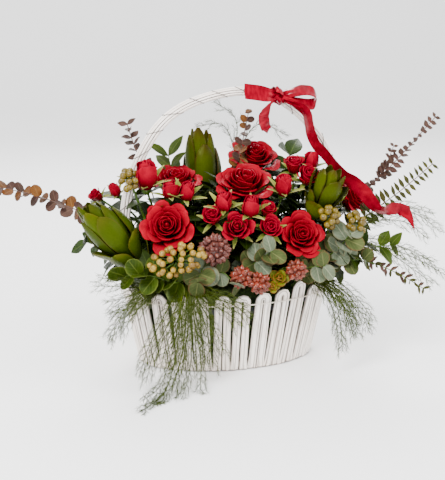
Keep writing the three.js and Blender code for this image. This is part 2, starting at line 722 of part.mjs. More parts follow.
add("leucadendron_centre", finish.bract,
  leucadendron(V(-19, 56, 199), V(-21, 62, 309), 27, 8, 0.34, 31));
add("leucadendron_left", finish.bract,
  leucadendron(V(-136, -38, 155), V(-197, -38, 229), 30, 8, 0.5, 32));
add("leucadendron_right", finish.bract,
  leucadendron(V(102, -74, 212), V(124, -85, 268), 21, 7, 0.6, 33));
add("leucadendron_back", finish.bract,
  leucadendron(V(58, 66, 178), V(76, 100, 252), 26, 7, 0.5, 34));

Object.entries(sprays).forEach(([name, [fork, heads]], i) =>
  add(name, finish.rose, spray(fork, heads, 200 + 10 * i)));

add("sedum_left", finish.sedum, sedum([[V(-41, -96, 173), facing(-20, 40), 19, 10]], V(-34, -72, 151), 51));
add("sedum_front", finish.sedum, sedum([
  [V(-10, -112, 139), facing(-5, 30), 12, 6],
  [V(12, -117, 131), facing(0, 20), 12, 6],
], V(4, -86, 139), 52));
add("sedum_right", finish.sedum, sedum([[V(59, -123, 146), facing(10, 30), 11, 6]], V(52, -90, 141), 53));

add("berries_left", finish.berry, berries(
  [[V(-90, -99, 163), facing(-15, 12), [34, 18, 11], 12]], V(-70, -70, 141), 61));
add("berries_left_top", finish.berry, berries(
  [[V(-135, -24, 253), facing(-35, 45), [11, 14, 11], 6]], V(-120, -22, 213), 62));
add("berries_right", finish.berry, berries([
  [V(107, -106, 209), facing(10, 25), [12, 12, 8], 5],
  [V(145, -103, 198), facing(30, 20), [15, 12, 8], 5],
], V(118, -80, 169), 63));

const disc = { round: true, lift: 22, curl: 0.05, fold: 0.08, rows: 3 };
const viewed = { ...disc, look: facing(-15, 28), turn: 66 };
const behind = { ...disc, look: facing(180, 28), turn: 66 };
add("silver_leaves_front", finish.silver, leafyStem(
  [V(8, -46, 101), V(10, -66, 138), V(12, -96, 152), V(30, -112, 170)],
  { ...viewed, pairs: 4, first: 0.62, last: 0.98, size: [27, 26], seed: 71, shrink: 0.85 }));
add("silver_leaves_left", finish.silver, leafyStem(
  [V(-40, -44, 101), V(-46, -64, 133), V(-56, -92, 148), V(-66, -108, 134)],
  { ...viewed, pairs: 3, first: 0.66, last: 0.98, size: [29, 28], seed: 72, shrink: 0.95 }));
add("silver_leaves_right", finish.silver, leafyStem(
  [V(86, -48, 101), V(100, -76, 140), V(120, -100, 162), V(134, -116, 188)],
  { ...viewed, pairs: 4, first: 0.6, last: 0.98, size: [30, 29], seed: 73, shrink: 0.8 }));
add("silver_leaves_low", finish.silver, leafyStem(
  [V(56, -46, 99), V(66, -74, 128), V(78, -102, 142), V(96, -126, 150)],
  { ...viewed, pairs: 3, first: 0.66, last: 0.98, size: [26, 25], seed: 74, shrink: 0.9, start: 30 }));
add("silver_leaves_back", finish.silver, leafyStem(
  [V(-6, 40, 101), V(-4, 66, 142), V(2, 92, 166), V(6, 112, 180)],
  { ...behind, pairs: 4, first: 0.58, last: 0.98, size: [32, 31], seed: 75, shrink: 0.85 }));
add("silver_leaves_back_left", finish.silver, leafyStem(
  [V(-70, 34, 99), V(-84, 54, 128), V(-98, 78, 138), V(-110, 96, 130)],
  { ...behind, pairs: 4, first: 0.5, last: 0.98, size: [30, 29], seed: 77, shrink: 0.9 }));

add("round_leaves_left", finish.roundLeaf, leafyStem(
  [V(-52, -38, 101), V(-66, -62, 125), V(-90, -84, 130), V(-120, -80, 140), V(-150, -58, 136)],
  { ...viewed, pairs: 5, first: 0.46, last: 0.99, size: [26, 25], seed: 76, shrink: 0.95,
    look: facing(-28, 26), start: 40 }));

const glossy = { lift: 35, curl: 0.18, fold: 0.16, turn: 75, rows: 3 };
add("dark_leaves_left", finish.darkLeaf, leafyStem(
  [V(-66, 10, 101), V(-104, 12, 149), V(-156, 10, 165), V(-190, 4, 169)],
  { ...glossy, pairs: 4, first: 0.6, last: 0.99, size: [36, 20], seed: 81, shrink: 0.95 }));
add("dark_leaves_right", finish.darkLeaf, leafyStem(
  [V(96, -38, 101), V(122, -64, 141), V(158, -92, 161), V(196, -108, 167)],
  { ...glossy, pairs: 4, first: 0.6, last: 0.98, size: [32, 18], seed: 82, shrink: 0.8 }));
add("dark_leaves_top", finish.darkLeaf, leafyStem(
  [V(70, -2, 101), V(80, -2, 181), V(88, 4, 253), V(90, 2, 277)],
  { ...glossy, pairs: 4, first: 0.68, last: 0.98, size: [34, 24], seed: 83, shrink: 0.9 }));
add("dark_leaves_back", finish.darkLeaf, leafyStem(
  [V(-66, 26, 101), V(-92, 46, 150), V(-104, 66, 182), V(-110, 88, 204)],
  { ...glossy, pairs: 5, first: 0.5, last: 0.98, size: [42, 24], seed: 84, shrink: 0.8 }));
add("dark_leaves_back_right", finish.darkLeaf, leafyStem(
  [V(60, 30, 99), V(84, 56, 130), V(112, 78, 142), V(140, 88, 136)],
  { ...glossy, pairs: 5, first: 0.42, last: 0.98, size: [40, 24], seed: 86, shrink: 0.85 }));

add("olive_sprig", finish.roundLeaf, leafyStem(
  [V(-40, 24, 101), V(-58, 38, 181), V(-66, 40, 249), V(-70, 42, 275)],
  { pairs: 3, first: 0.78, last: 0.99, size: [36, 13], seed: 85, shrink: 0.85, lift: 40, turn: 40,
    rows: 3 }));

add("brown_sprig_left", finish.brownLeaf, leafyStem(
  [V(-78, 26, 101), V(-108, 24, 155), V(-170, 6, 197), V(-236, 22, 225), V(-292, 36, 241)],
  { ...viewed, pairs: 8, first: 0.44, last: 0.995, size: [20, 19], seed: 91, shrink: 0.7, lift: 35,
    turn: 80, steps: 6 }));
add("brown_sprig_upper_left", finish.brownLeaf, leafyStem(
  [V(-58, 30, 101), V(-86, 30, 191), V(-104, 26, 253), V(-119, 28, 291), V(-128, 30, 321)],
  { pairs: 6, first: 0.66, last: 0.99, size: [17, 10], seed: 92, shrink: 0.55, lift: 25, turn: 70,
    rows: 2 }));
add("brown_sprig_centre", finish.brownLeaf, leafyStem(
  [V(10, 24, 101), V(14, 16, 191), V(18, 10, 257), V(26, 8, 299), V(32, 4, 334)],
  { ...viewed, pairs: 6, first: 0.62, last: 0.99, size: [15, 14], seed: 93, shrink: 0.7, lift: 25,
    start: 20 }));
add("brown_sprig_right_upper", finish.brownLeaf, leafyStem(
  [V(88, 10, 101), V(128, -6, 149), V(152, -14, 181), V(187, -22, 219), V(228, -48, 272), V(273, -62, 328)],
  { pairs: 10, first: 0.5, last: 0.995, size: [17, 9], seed: 94, shrink: 0.5, lift: 30, turn: 88,
    rows: 2, steps: 8 }));
add("brown_sprig_right_lower", finish.brownLeaf, leafyStem(
  [V(92, -14, 101), V(126, -34, 151), V(176, -62, 197), V(222, -74, 233), V(262, -82, 268)],
  { pairs: 8, first: 0.48, last: 0.995, size: [18, 7], seed: 95, shrink: 0.55, lift: 25, turn: 20,
    rows: 2, steps: 6 }));
add("thin_sprig_right", finish.silver, leafyStem(
  [V(80, -44, 99), V(116, -80, 133), V(156, -104, 147), V(200, -118, 131), V(236, -125, 109)],
  { pairs: 6, first: 0.52, last: 0.99, size: [16, 6], seed: 96, shrink: 0.6, lift: 35, turn: 50,
    rows: 2, steps: 6 }));

add("fern_left_front", finish.fern, fern(V(-72, -66, 131), [
  [V(-88, -108, 109), V(-98, -124, 51), V(-118, -146, 8), V(-156, -184, 2)],
  [V(-98, -106, 101), V(-122, -116, 53), V(-134, -126, 15)],
  [V(-76, -110, 101), V(-78, -120, 57), V(-84, -132, 12), V(-98, -158, 2)],
  [V(-66, -112, 101), V(-52, -118, 57), V(-48, -122, 27)],
], { seed: 21, needles: 4, length: 30 }));
add("fern_left", finish.fern, fern(V(-98, -50, 123), [
  [V(-134, -82, 109), V(-172, -72, 85)],
  [V(-140, -70, 125), V(-188, -50, 121)],
], { seed: 22, needles: 4, length: 28 }));
add("fern_right_front", finish.fern, fern(V(84, -58, 125), [
  [V(108, -108, 111), V(122, -124, 67), V(126, -126, 33)],
  [V(122, -100, 119), V(148, -118, 83), V(166, -110, 49)],
], { seed: 23, needles: 4, length: 28 }));
add("fern_right", finish.fern, fern(V(116, -58, 149), [
  [V(166, -90, 169), V(222, -112, 149), V(268, -118, 121)],
  [V(176, -74, 197), V(232, -86, 203), V(270, -98, 177)],
], { seed: 24, needles: 5, length: 28 }));
add("fern_top", finish.fern, fern(V(22, 52, 181), [
  [V(26, 60, 281), V(4, 54, 318), V(-30, 46, 314)],
  [V(40, 62, 281), V(64, 54, 313), V(104, 46, 296)],
  [V(30, 60, 291), V(22, 50, 334), V(-6, 44, 345)],
], { seed: 25, needles: 4, length: 28 }));

add("floral_foam", finish.foam, foam());

// Every solid gives way to those before it, and keeps only its largest body
const group = new THREE.Group();
const settled = [];
for (const { name, look, body } of nodes) {
  const box = body.boundingBox();
  const near = settled.filter((other) => [0, 1, 2].every((axis) =>
    other.box.min[axis] - 1 < box.max[axis] && other.box.max[axis] + 1 > box.min[axis]));
  const cut = near.length ? body.subtract(wasm.Manifold.union(near.flatMap((other) => other.keepOut))) : body;
  const final = largest(largest(cut).simplify(SMALLEST_EDGE)).asOriginal();
  settled.push({ box: final.boundingBox(), keepOut: [final, swollen(final)] });
  const mesh = new THREE.Mesh(geometryOf(final), new THREE.MeshStandardMaterial({ metalness: 0, ...look }));
  mesh.name = name;
  group.add(mesh);
}

export default group;
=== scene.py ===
# %% [markdown]
# # A flower basket arrangement
# An oval basket of bent wooden strips holds red roses, small spray roses, leucadendron, berries, sedum,
# eucalyptus and asparagus fern. The solids of the CAD part give every stem, head and leaf its place, and
# this script models the same things finer: each petal, bract, berry and needle. Lengths below are in
# millimetres, as in the CAD, and become metres where a mesh is made.

# %% Load the frame
import math

import bmesh
import bpy
import numpy as np
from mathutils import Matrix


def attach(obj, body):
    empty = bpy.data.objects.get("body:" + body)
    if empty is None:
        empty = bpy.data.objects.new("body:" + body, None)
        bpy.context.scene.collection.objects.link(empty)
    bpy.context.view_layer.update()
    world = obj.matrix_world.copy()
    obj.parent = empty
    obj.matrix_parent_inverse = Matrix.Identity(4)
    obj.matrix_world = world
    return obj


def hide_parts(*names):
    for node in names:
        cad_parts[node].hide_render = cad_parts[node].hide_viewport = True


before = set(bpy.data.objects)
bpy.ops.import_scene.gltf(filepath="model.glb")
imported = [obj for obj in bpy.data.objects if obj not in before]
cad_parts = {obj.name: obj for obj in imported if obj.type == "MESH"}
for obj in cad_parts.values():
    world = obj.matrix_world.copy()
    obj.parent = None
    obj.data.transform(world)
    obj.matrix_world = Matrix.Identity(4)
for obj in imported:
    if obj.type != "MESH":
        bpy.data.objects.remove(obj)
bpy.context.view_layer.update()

# %% [markdown]
# ## Random numbers, directions and smooth lines
# The plants of the CAD were spread by seeded random numbers and smooth curves through a few points. Using
# the same rule and the same kind of curve here puts each fine leaf where its plain solid stood. Another
# way would be to measure the solids, but the rule keeps the script readable.

# %% Random numbers and directions
MM = 0.001
UP = np.array([0.0, 0.0, 1.0])
GOLDEN = math.pi * (3 - math.sqrt(5))
WORD = 0xFFFFFFFF


def V(*values):
    return np.array(values, float)


def unit(vector):
    return vector / np.maximum(np.linalg.norm(vector, axis=-1, keepdims=True), 1e-9)


def lerp(a, b, share):
    return a + (b - a) * share


def seeded(seed):
    """Repeatable random numbers from 0 to 1, the same as those of the CAD."""
    state = seed & WORD

    def draw():
        nonlocal state
        state = (state + 0x6D2B79F5) & WORD
        mixed = (state ^ (state >> 15)) * (1 | state) & WORD
        mixed = (mixed + (mixed ^ (mixed >> 7)) * (61 | mixed) & WORD) ^ mixed
        return ((mixed ^ (mixed >> 14)) & WORD) / 2**32

    return draw


def facing(azimuth, elevation):
    """Direction: azimuth 0 is the front (-Y) and turns towards +X, elevation is above level."""
    turn, rise = math.radians(azimuth), math.radians(elevation)
    return V(math.sin(turn) * math.cos(rise), -math.cos(turn) * math.cos(rise), math.sin(rise))


def turned_about(vector, axis, angle):
    """A vector turned about a unit axis."""
    aside = np.cross(axis, vector)
    along = axis * np.dot(axis, vector)
    return along + (vector - along) * math.cos(angle) + aside * math.sin(angle)


print("golden angle", round(math.degrees(GOLDEN), 2))

# %% [markdown]
# ## Smooth lines
# Stems, canes, strands and the edges of the ribbon all follow smooth lines. Blender's curve objects could
# draw them, but a thin leaf or a needle needs to ask the line for its place and direction at any point. So
# the line is worked out here through a few points, in the same way as the CAD's, and can be asked for both.

# %% A line through points
class Path:
    """Smooth line through points. at() and frame() take shares of its length, point() takes shares
    of its number of points."""

    def __init__(self, points, tension=None):
        knots = np.array(points, float)
        spans = len(knots) - 1
        rows = np.vstack([2 * knots[0] - knots[1], knots, 2 * knots[-1] - knots[-2]])
        self.t = np.linspace(0, 1, 16 * spans + 1)
        i = np.minimum((self.t * spans).astype(int), spans - 1)
        w = (self.t * spans - i)[:, None]
        p0, p1, p2, p3 = rows[i], rows[i + 1], rows[i + 2], rows[i + 3]
        if tension is None:
            gap = lambda a, b: np.maximum(np.linalg.norm(a - b, axis=1, keepdims=True), 1e-6) ** 0.5
            d0, d1, d2 = gap(p0, p1), gap(p1, p2), gap(p2, p3)
            m1 = ((p1 - p0) / d0 - (p2 - p0) / (d0 + d1) + (p2 - p1) / d1) * d1
            m2 = ((p2 - p1) / d1 - (p3 - p1) / (d1 + d2) + (p3 - p2) / d2) * d1
        else:
            m1, m2 = tension * (p2 - p0), tension * (p3 - p1)
        self.points = (
            p1 + m1 * w + (3 * (p2 - p1) - 2 * m1 - m2) * w**2 + (2 * (p1 - p2) + m1 + m2) * w**3
        )
        steps = np.linalg.norm(np.diff(self.points, axis=0), axis=1)
        self.length = steps.sum()
        self.way = np.concatenate([[0], np.cumsum(steps)]) / max(self.length, 1e-9)
        self.tangents = unit(np.gradient(self.points, axis=0))
        self.normals = self.carried(self.tangents)

    @staticmethod
    def carried(tangents):
        """Sideways directions that turn as little as they can along the line."""
        start = V(0, 1, 0) if abs(tangents[0][1]) < 0.8 else UP
        normal = unit(np.cross(start, tangents[0]))
        normals = []
        for tangent in tangents:
            normal = unit(normal - tangent * np.dot(normal, tangent))
            normals.append(normal)
        return np.array(normals)

    def read(self, rows, share, ruler):
        return np.stack([np.interp(share, ruler, rows[:, k]) for k in range(3)], axis=-1)

    def at(self, share):
        return self.read(self.points, share, self.way)

    def tangent(self, share):
        return unit(self.read(self.tangents, share, self.way))

    def point(self, t):
        return self.read(self.points, t, self.t)

    def frame(self, share):
        """Place, and the two directions across the line."""
        tangent = self.tangent(share)
        normal = unit(self.read(self.normals, share, self.way))
        return self.at(share), normal, np.cross(tangent, normal)


print("a test line is", round(Path([(0, 0, 0), (3, 4, 0)]).length, 3), "long")

# %% [markdown]
# ## Moulds
# Nearly everything here is either a thin plate (a petal, a leaf, a length of ribbon) or something round
# (a stem, a berry, a strip). Each could be modelled by hand, but there are thousands of them. So each kind
# starts from Blender's grid operator: solidify makes the plate, and rolling the grid up and filling its
# ends makes the round one. That gives clean faces and a texture map with u across and v along.

# %% What a mould keeps
class Mould:
    """Corners and faces of a grid operator's result, ready to be moved by a formula."""

    def __init__(self, mesh, u, v, side, wraps):
        self.u, self.v, self.side = u, v, side
        faces = [[corner.index for corner in face.verts] for face in mesh.faces]
        self.sizes = np.array([len(face) for face in faces])
        self.corners = np.concatenate(faces)
        self.back = np.concatenate([face[::-1] for face in faces])
        self.fans = np.array([[face[0], face[k], face[k + 1]] for face in faces
                              for k in range(1, len(face) - 1)])
        self.maps = [self.mapped(faces, wraps), self.mapped([face[::-1] for face in faces], wraps)]

    def mapped(self, faces, wraps):
        """Texture coordinates for each corner of each face, carried over the seam of a roll."""
        rows = []
        for face in faces:
            across = self.u[face]
            if wraps and len(face) == 4 and across.max() - across.min() > 0.5:
                across = np.where(across < 0.5, across + 1, across)
            rows.append(np.stack([across, self.v[face]], axis=1))
        return np.concatenate(rows)


# %% Plates and rolls
MOULDS = {}


def plate(across, along):
    """A grid that is made solid, so it has two faces and a rim."""
    key = ("plate", across, along)
    if key not in MOULDS:
        mesh = bmesh.new()
        bmesh.ops.create_grid(mesh, x_segments=across, y_segments=along, size=0.5)
        bmesh.ops.solidify(mesh, geom=mesh.faces[:], thickness=1.0)
        bmesh.ops.recalc_face_normals(mesh, faces=mesh.faces[:])
        mesh.verts.index_update()
        x, y, z = (np.array([corner.co[k] for corner in mesh.verts]) for k in range(3))
        MOULDS[key] = Mould(mesh, x + 0.5, y + 0.5, np.where(z > z.mean(), 1.0, -1.0), False)
        mesh.free()
    return MOULDS[key]


def roll(around, along):
    """A grid rolled into a tube, with its ends filled."""
    key = ("roll", around, along)
    if key not in MOULDS:
        mesh = bmesh.new()
        bmesh.ops.create_grid(mesh, x_segments=around, y_segments=along, size=0.5)
        for corner in mesh.verts:
            angle = 2 * math.pi * (corner.co.x + 0.5)
            corner.co = (math.cos(angle), math.sin(angle), corner.co.y)
        bmesh.ops.remove_doubles(mesh, verts=mesh.verts[:], dist=1e-4)
        bmesh.ops.holes_fill(mesh, edges=mesh.edges[:], sides=around)
        bmesh.ops.recalc_face_normals(mesh, faces=mesh.faces[:])
        mesh.verts.index_update()
        x, y, z = (np.array([corner.co[k] for corner in mesh.verts]) for k in range(3))
        u = np.round(np.arctan2(y, x) / (2 * math.pi) % 1 * around) % around / around
        MOULDS[key] = Mould(mesh, u, z + 0.5, np.zeros(len(z)), True)
        mesh.free()
    return MOULDS[key]


print("a plate of 4 by 6 has", len(plate(4, 6).sizes), "faces, a roll of 6 by 12", len(roll(6, 12).sizes))

# %% [markdown]
# ## From a mould to a form
# A leaf curls, a stem bends and tapers, and a bud swells. Sculpting or a stack of modifiers could shape
# them one by one. Here a formula moves the corners of a mould instead, because the same few lines then
# shape every leaf, and a change of one number is seen on all of them.

# %% Forms
class Form:
    """A mould with its corners moved, turned the right way out."""

    def __init__(self, mould, points):
        a, b, c = (points[mould.fans[:, k]] for k in range(3))
        inside_out = np.einsum("ij,ij->", a - points.mean(0), np.cross(b - a, c - a)) < 0
        self.points, self.sizes = points, mould.sizes
        self.corners = mould.back if inside_out else mould.corners
        self.uv = mould.maps[int(inside_out)]


PROBE = 0.01


def sheet(surface, across, along, half):
    """Thin body round surface(u, v), with half its thickness on each side."""
    mould = plate(across, along)
    u, v = mould.u, mould.v
    ahead = surface(u, v + PROBE) - surface(u, v - PROBE)
    aside = surface(u + PROBE, v) - surface(u - PROBE, v)
    offset = unit(np.cross(aside, ahead)) * (mould.side * half)[:, None]
    return Form(mould, surface(u, v) + offset)


def rolled(surface, around, along):
    mould = roll(around, along)
    return Form(mould, surface(mould.u, mould.v))


def tube(path, radius, around=6, along=12):
    """Round body along a path; radius(share, angle) may change along and around it."""

    def surface(u, v):
        angle = 2 * math.pi * u
        middle, normal, binormal = path.frame(v)
        size = (radius(v, angle) if callable(radius) else np.full(len(v), float(radius)))[:, None]
        return middle + size * (np.cos(angle)[:, None] * normal + np.sin(angle)[:, None] * binormal)

    return rolled(surface, around, along)


def tapered(points, thick, thin, around=6, along=12):
    return tube(Path(points), lambda v, a: lerp(thick, thin, v), around, along)


def lathe(profile, radius, around=10, along=8):
    """Round body along +Z; the profile lists [share of the radius, height in radii]."""
    line = Path([V(r, 0, h) for r, h in profile])

    def surface(u, v):
        angle = 2 * math.pi * u
        edge = line.at(v) * radius
        size = np.maximum(edge[:, 0], 0.02 * radius)
        return np.stack([size * np.cos(angle), size * np.sin(angle), edge[:, 2]], axis=1)

    return rolled(surface, around, along)


# %% Places
def standing(point, direction, spin=0.0, scale=1.0):
    """Place for a form that was made along +Z, so that it looks in a direction."""
    ahead = unit(direction)
    axis = np.cross(UP, ahead)
    tilt = math.acos(min(max(ahead[2], -1.0), 1.0))
    axis = unit(axis) if np.linalg.norm(axis) > 1e-6 else V(1, 0, 0)
    first = turned_about(V(math.cos(spin), math.sin(spin), 0), axis, tilt)
    return point, scale * np.stack([first, np.cross(ahead, first), ahead])


def lying(point, ahead, normal, scale=1.0):
    """Place for a leaf that was made along +Y with its face to +Z."""
    ahead = unit(ahead)
    side = unit(np.cross(ahead, normal))
    return point, scale * np.stack([side, ahead, np.cross(side, ahead)])


HERE = (V(0, 0, 0), np.eye(3))

# %% [markdown]
# ## Bunches
# A rose is dozens of petals and a fern thousands of needles. As single objects they would be slow to
# handle, and joining them with the join operator is slow too. A bunch gathers their corners and writes one
# mesh, with its texture map, a tint for each form and a material for each face.

# %% One object from many forms
SHARP_ANGLE = math.radians(48)


class Bunch:
    """Gathers forms and makes them one object, which rides on the part's body."""

    def __init__(self):
        self.points, self.corners, self.sizes, self.uv, self.tints, self.looks = [], [], [], [], [], []
        self.count = 0

    def add(self, form, place=HERE, tint=0.5, look=0):
        origin, axes = place
        self.points.append(form.points @ axes + origin)
        self.corners.append(form.corners + self.count)
        self.sizes.append(form.sizes)
        self.uv.append(form.uv)
        self.tints.append(np.full(len(form.points), tint))
        self.looks.append(np.full(len(form.sizes), look))
        self.count += len(form.points)

    def piece(self, name, looks, slot, *nodes):
        points = np.concatenate(self.points) * MM
        corners, sizes = np.concatenate(self.corners), np.concatenate(self.sizes)
        mesh = bpy.data.meshes.new(name)
        mesh.vertices.add(len(points))
        mesh.vertices.foreach_set("co", points.astype(np.float32).ravel())
        mesh.loops.add(len(corners))
        mesh.loops.foreach_set("vertex_index", corners.astype(np.int32))
        mesh.polygons.add(len(sizes))
        starts = np.concatenate([[0], np.cumsum(sizes)[:-1]])
        mesh.polygons.foreach_set("loop_start", starts.astype(np.int32))
        mesh.polygons.foreach_set("material_index", np.concatenate(self.looks).astype(np.int32))
        mesh.uv_layers.new(name="UVMap").data.foreach_set("uv", np.concatenate(self.uv).ravel())
        tint = mesh.attributes.new("tint", "FLOAT", "POINT")
        tint.data.foreach_set("value", np.concatenate(self.tints).astype(np.float32))
        for look in looks:
            mesh.materials.append(look)
        mesh.update(calc_edges=True)
        mesh.shade_smooth()
        mesh.set_sharp_from_angle(angle=SHARP_ANGLE)
        item = bpy.data.objects.new(name, mesh)
        bpy.context.scene.collection.objects.link(item)
        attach(item, "root")
        if nodes:
            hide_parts(*nodes)
        print(f"{name}: {len(sizes)} faces")
        return item


print(len(MOULDS), "moulds so far")

# %% [markdown]
# ## Materials
# Plant surfaces are never one colour, and a painted picture for each would be one way to show it. Here
# each material is wired from nodes, because a pattern then needs no picture file and stays on the thing
# from every side. It reads the mesh's own texture map, the part's own space and the tint of each form.

# %% Wiring tools
class Look:
    """One procedural material, wired node by node."""

    def __init__(self, name, **fixed):
        self.material = bpy.data.materials.new(name)
        self.material.use_nodes = True
        self.tree = self.material.node_tree
        self.shader = self.tree.nodes["Principled BSDF"]
        for socket, value in fixed.items():
            self.set(socket.replace("_", " "), value)
        places = self.tree.nodes.new("ShaderNodeTexCoord")
        self.space, self.uv = places.outputs["Object"], places.outputs["UV"]
        split = self.node("ShaderNodeSeparateXYZ", {0: self.uv}, out=None)
        self.u, self.v = split.outputs[0], split.outputs[1]
        self.tint = self.node("ShaderNodeAttribute", {}, out="Fac", attribute_name="tint")

    def join(self, socket, value):
        if isinstance(value, bpy.types.NodeSocket):
            self.tree.links.new(value, socket)
        elif isinstance(value, tuple) and socket.type == "RGBA":
            socket.default_value = (*value, 1)
        else:
            socket.default_value = value

    def set(self, socket, value):
        self.join(self.shader.inputs[socket], value)

    def node(self, kind, values, out=0, **settings):
        node = self.tree.nodes.new(kind)
        for key, value in settings.items():
            setattr(node, key, value)
        for key, value in values.items():
            self.join(node.inputs[key], value)
        return node if out is None else node.outputs[out]

    def math(self, operation, a, b=0.0):
        return self.node("ShaderNodeMath", {0: a, 1: b}, operation=operation)

    def mix(self, factor, a, b):
        return self.node("ShaderNodeMix", {0: factor, 6: a, 7: b}, out=2, data_type="RGBA")

    def rise(self, value, low, high, top=1.0):
        """0 below low, top above high, and smooth between them."""
        return self.node("ShaderNodeMapRange", {0: value, 1: low, 2: high, 3: 0.0, 4: top},
                         interpolation_type="SMOOTHSTEP")

    def noise(self, place, scale, detail=3.0, stretch=(1.0, 1.0, 1.0)):
        longer = self.node("ShaderNodeVectorMath", {0: place, 1: stretch}, operation="MULTIPLY")
        return self.node("ShaderNodeTexNoise", {"Vector": longer, "Scale": scale, "Detail": detail})

    def bump(self, height, distance, strength=1.0):
        normal = self.node("ShaderNodeBump", {"Height": height, "Strength": strength,
                                              "Distance": distance * MM})
        self.set("Normal", normal)

    def middle(self):
        """Distance from the midrib, 0 to 0.5."""
        return self.math("ABSOLUTE", self.math("SUBTRACT", self.u, 0.5))


# %% [markdown]
# ## Petals
# A red petal is velvety, so it hardly shines, and a plain red would look like plastic. The colour rises
# from a dark foot, which is painted shade deep in the bloom, to a bright lip, with fine strands along the
# petal, and the lighter rim at the lip and the sides is a painted highlight. The little shine that is left
# is tinted red, because a white shine would turn the petal pink.

# %% Petal material
def petal_look(name, deep, bright, rim):
    look = Look(name, Specular_IOR_Level=0.1, Specular_Tint=(1.0, 0.08, 0.12))
    strands = look.noise(look.uv, 9.0, 2.0, (7.0, 0.8, 1.0))
    mottle = look.noise(look.space, 90.0, 3.0)
    # Dark at the foot, bright at the lip: painted shade at the foot of the petal, deep in the bloom.
    body = look.mix(look.rise(look.v, 0.25, 0.95), deep, bright)
    body = look.mix(look.math("MULTIPLY", look.rise(mottle, 0.35, 0.7), 0.45), body, deep)
    body = look.mix(look.math("MULTIPLY", look.rise(strands, 0.5, 0.75), 0.2), body, rim)
    # A high tint pulls the colour to the deep red: painted shade on the inner petals and the heart.
    body = look.mix(look.rise(look.tint, 0.0, 1.0, 0.5), body, deep)
    # Lighter rim colour at the lip and the sides: painted highlight.
    edge = look.math("MAXIMUM", look.rise(look.v, 0.93, 1.0), look.rise(look.middle(), 0.45, 0.5))
    look.set("Base Color", look.mix(look.math("MULTIPLY", edge, 0.45), body, rim))
    look.set("Roughness", look.rise(mottle, 0.2, 0.8, 0.75))
    look.bump(strands, 0.25, 0.6)
    return look.material


ROSE = petal_look("rose_petals", (0.045, 0.0, 0.002), (0.245, 0.0, 0.009), (0.28, 0.0, 0.012))
SPRAY = petal_look("spray_rose_petals", (0.07, 0.0, 0.003), (0.27, 0.0, 0.013), (0.3, 0.0, 0.018))
print("petal materials:", ROSE.name, SPRAY.name)


# %% [markdown]
# ## Leaves
# A leaf has a pale midrib, side veins that lean forward, and in eucalyptus a thin reddish edge. Veins could
# be drawn as a picture, but the texture map already says how far a point is from the midrib and the foot,
# so a sine wave over the two draws them on every leaf, whatever its size.

# %% Leaf material
VEIN_LEAN = 2.2


def leaf_look(name, dark, light, vein, roughness, ribs=7.0, edge=None, coat=0.0, ribbed=1.0):
    look = Look(name, Coat_Weight=coat, Coat_Roughness=0.25, Specular_IOR_Level=0.16,
                Specular_Tint=(0.8, 1.0, 0.5))
    mottle = look.noise(look.space, 60.0, 4.0)
    fine = look.noise(look.space, 420.0, 2.0)
    middle = look.middle()
    midrib = look.math("SUBTRACT", 1.0, look.rise(middle, 0.008, 0.045))
    waves = look.math("SINE", look.math("MULTIPLY", look.math("SUBTRACT", look.v, look.math(
        "MULTIPLY", middle, VEIN_LEAN / ribs * 2)), ribs * 2 * math.pi))
    side = look.math("MULTIPLY", look.rise(waves, 0.82, 1.0), 0.4 * ribbed)
    veins = look.math("MAXIMUM", midrib, side)
    body = look.mix(look.rise(mottle, 0.3, 0.72), dark, light)
    body = look.mix(look.math("MULTIPLY", look.tint, 0.6), body, dark)
    body = look.mix(look.math("MULTIPLY", look.rise(fine, 0.45, 0.7), 0.18), body, light)
    if edge:
        rim = look.math("MAXIMUM", look.rise(middle, 0.38, 0.5), look.rise(look.v, 0.86, 1.0))
        body = look.mix(look.math("MULTIPLY", rim, 0.7), body, edge)
    look.set("Base Color", look.mix(look.math("MULTIPLY", veins, 0.55), body, vein))
    look.set("Roughness", look.math("ADD", look.rise(fine, 0.3, 0.8, 0.25), roughness - 0.1))
    look.bump(look.math("ADD", look.math("MULTIPLY", veins, -0.5), mottle), 0.5, 0.5)
    return look.material


ROUND_LEAF = leaf_look("round_green_leaves", (0.008, 0.018, 0.0), (0.027, 0.046, 0.001),
                       (0.08, 0.1, 0.015), 0.42, edge=(0.07, 0.085, 0.012))
DARK_LEAF = leaf_look("dark_glossy_leaves", (0.004, 0.012, 0.0), (0.015, 0.034, 0.001),
                      (0.05, 0.08, 0.008), 0.35, coat=0.05)
SILVER_LEAF = leaf_look("silver_leaves", (0.055, 0.07, 0.042), (0.13, 0.155, 0.105),
                        (0.25, 0.26, 0.17), 0.6, ribs=6.0, edge=(0.1, 0.08, 0.04))
MUTED_LEAF = leaf_look("muted_leaves", (0.022, 0.032, 0.008), (0.055, 0.065, 0.02),
                       (0.13, 0.13, 0.045), 0.55, ribs=6.0, edge=(0.08, 0.028, 0.015))
OLIVE_LEAF = leaf_look("olive_leaves", (0.01, 0.02, 0.0), (0.038, 0.054, 0.001),
                       (0.08, 0.1, 0.015), 0.5, ribs=12.0, ribbed=0.5)
BROWN_LEAF = leaf_look("brown_purple_leaves", (0.022, 0.008, 0.008), (0.07, 0.032, 0.028),
                       (0.11, 0.06, 0.045), 0.55, ribs=6.0, edge=(0.045, 0.014, 0.01))
RUSSET_LEAF = leaf_look("russet_leaves", (0.06, 0.016, 0.004), (0.14, 0.05, 0.012),
                        (0.18, 0.09, 0.03), 0.5, ribs=6.0, edge=(0.08, 0.024, 0.008))
GREY_LEAF = leaf_look("grey_green_narrow_leaves", (0.012, 0.012, 0.002), (0.042, 0.036, 0.007),
                      (0.09, 0.08, 0.03), 0.6, ribs=10.0, ribbed=0.4)
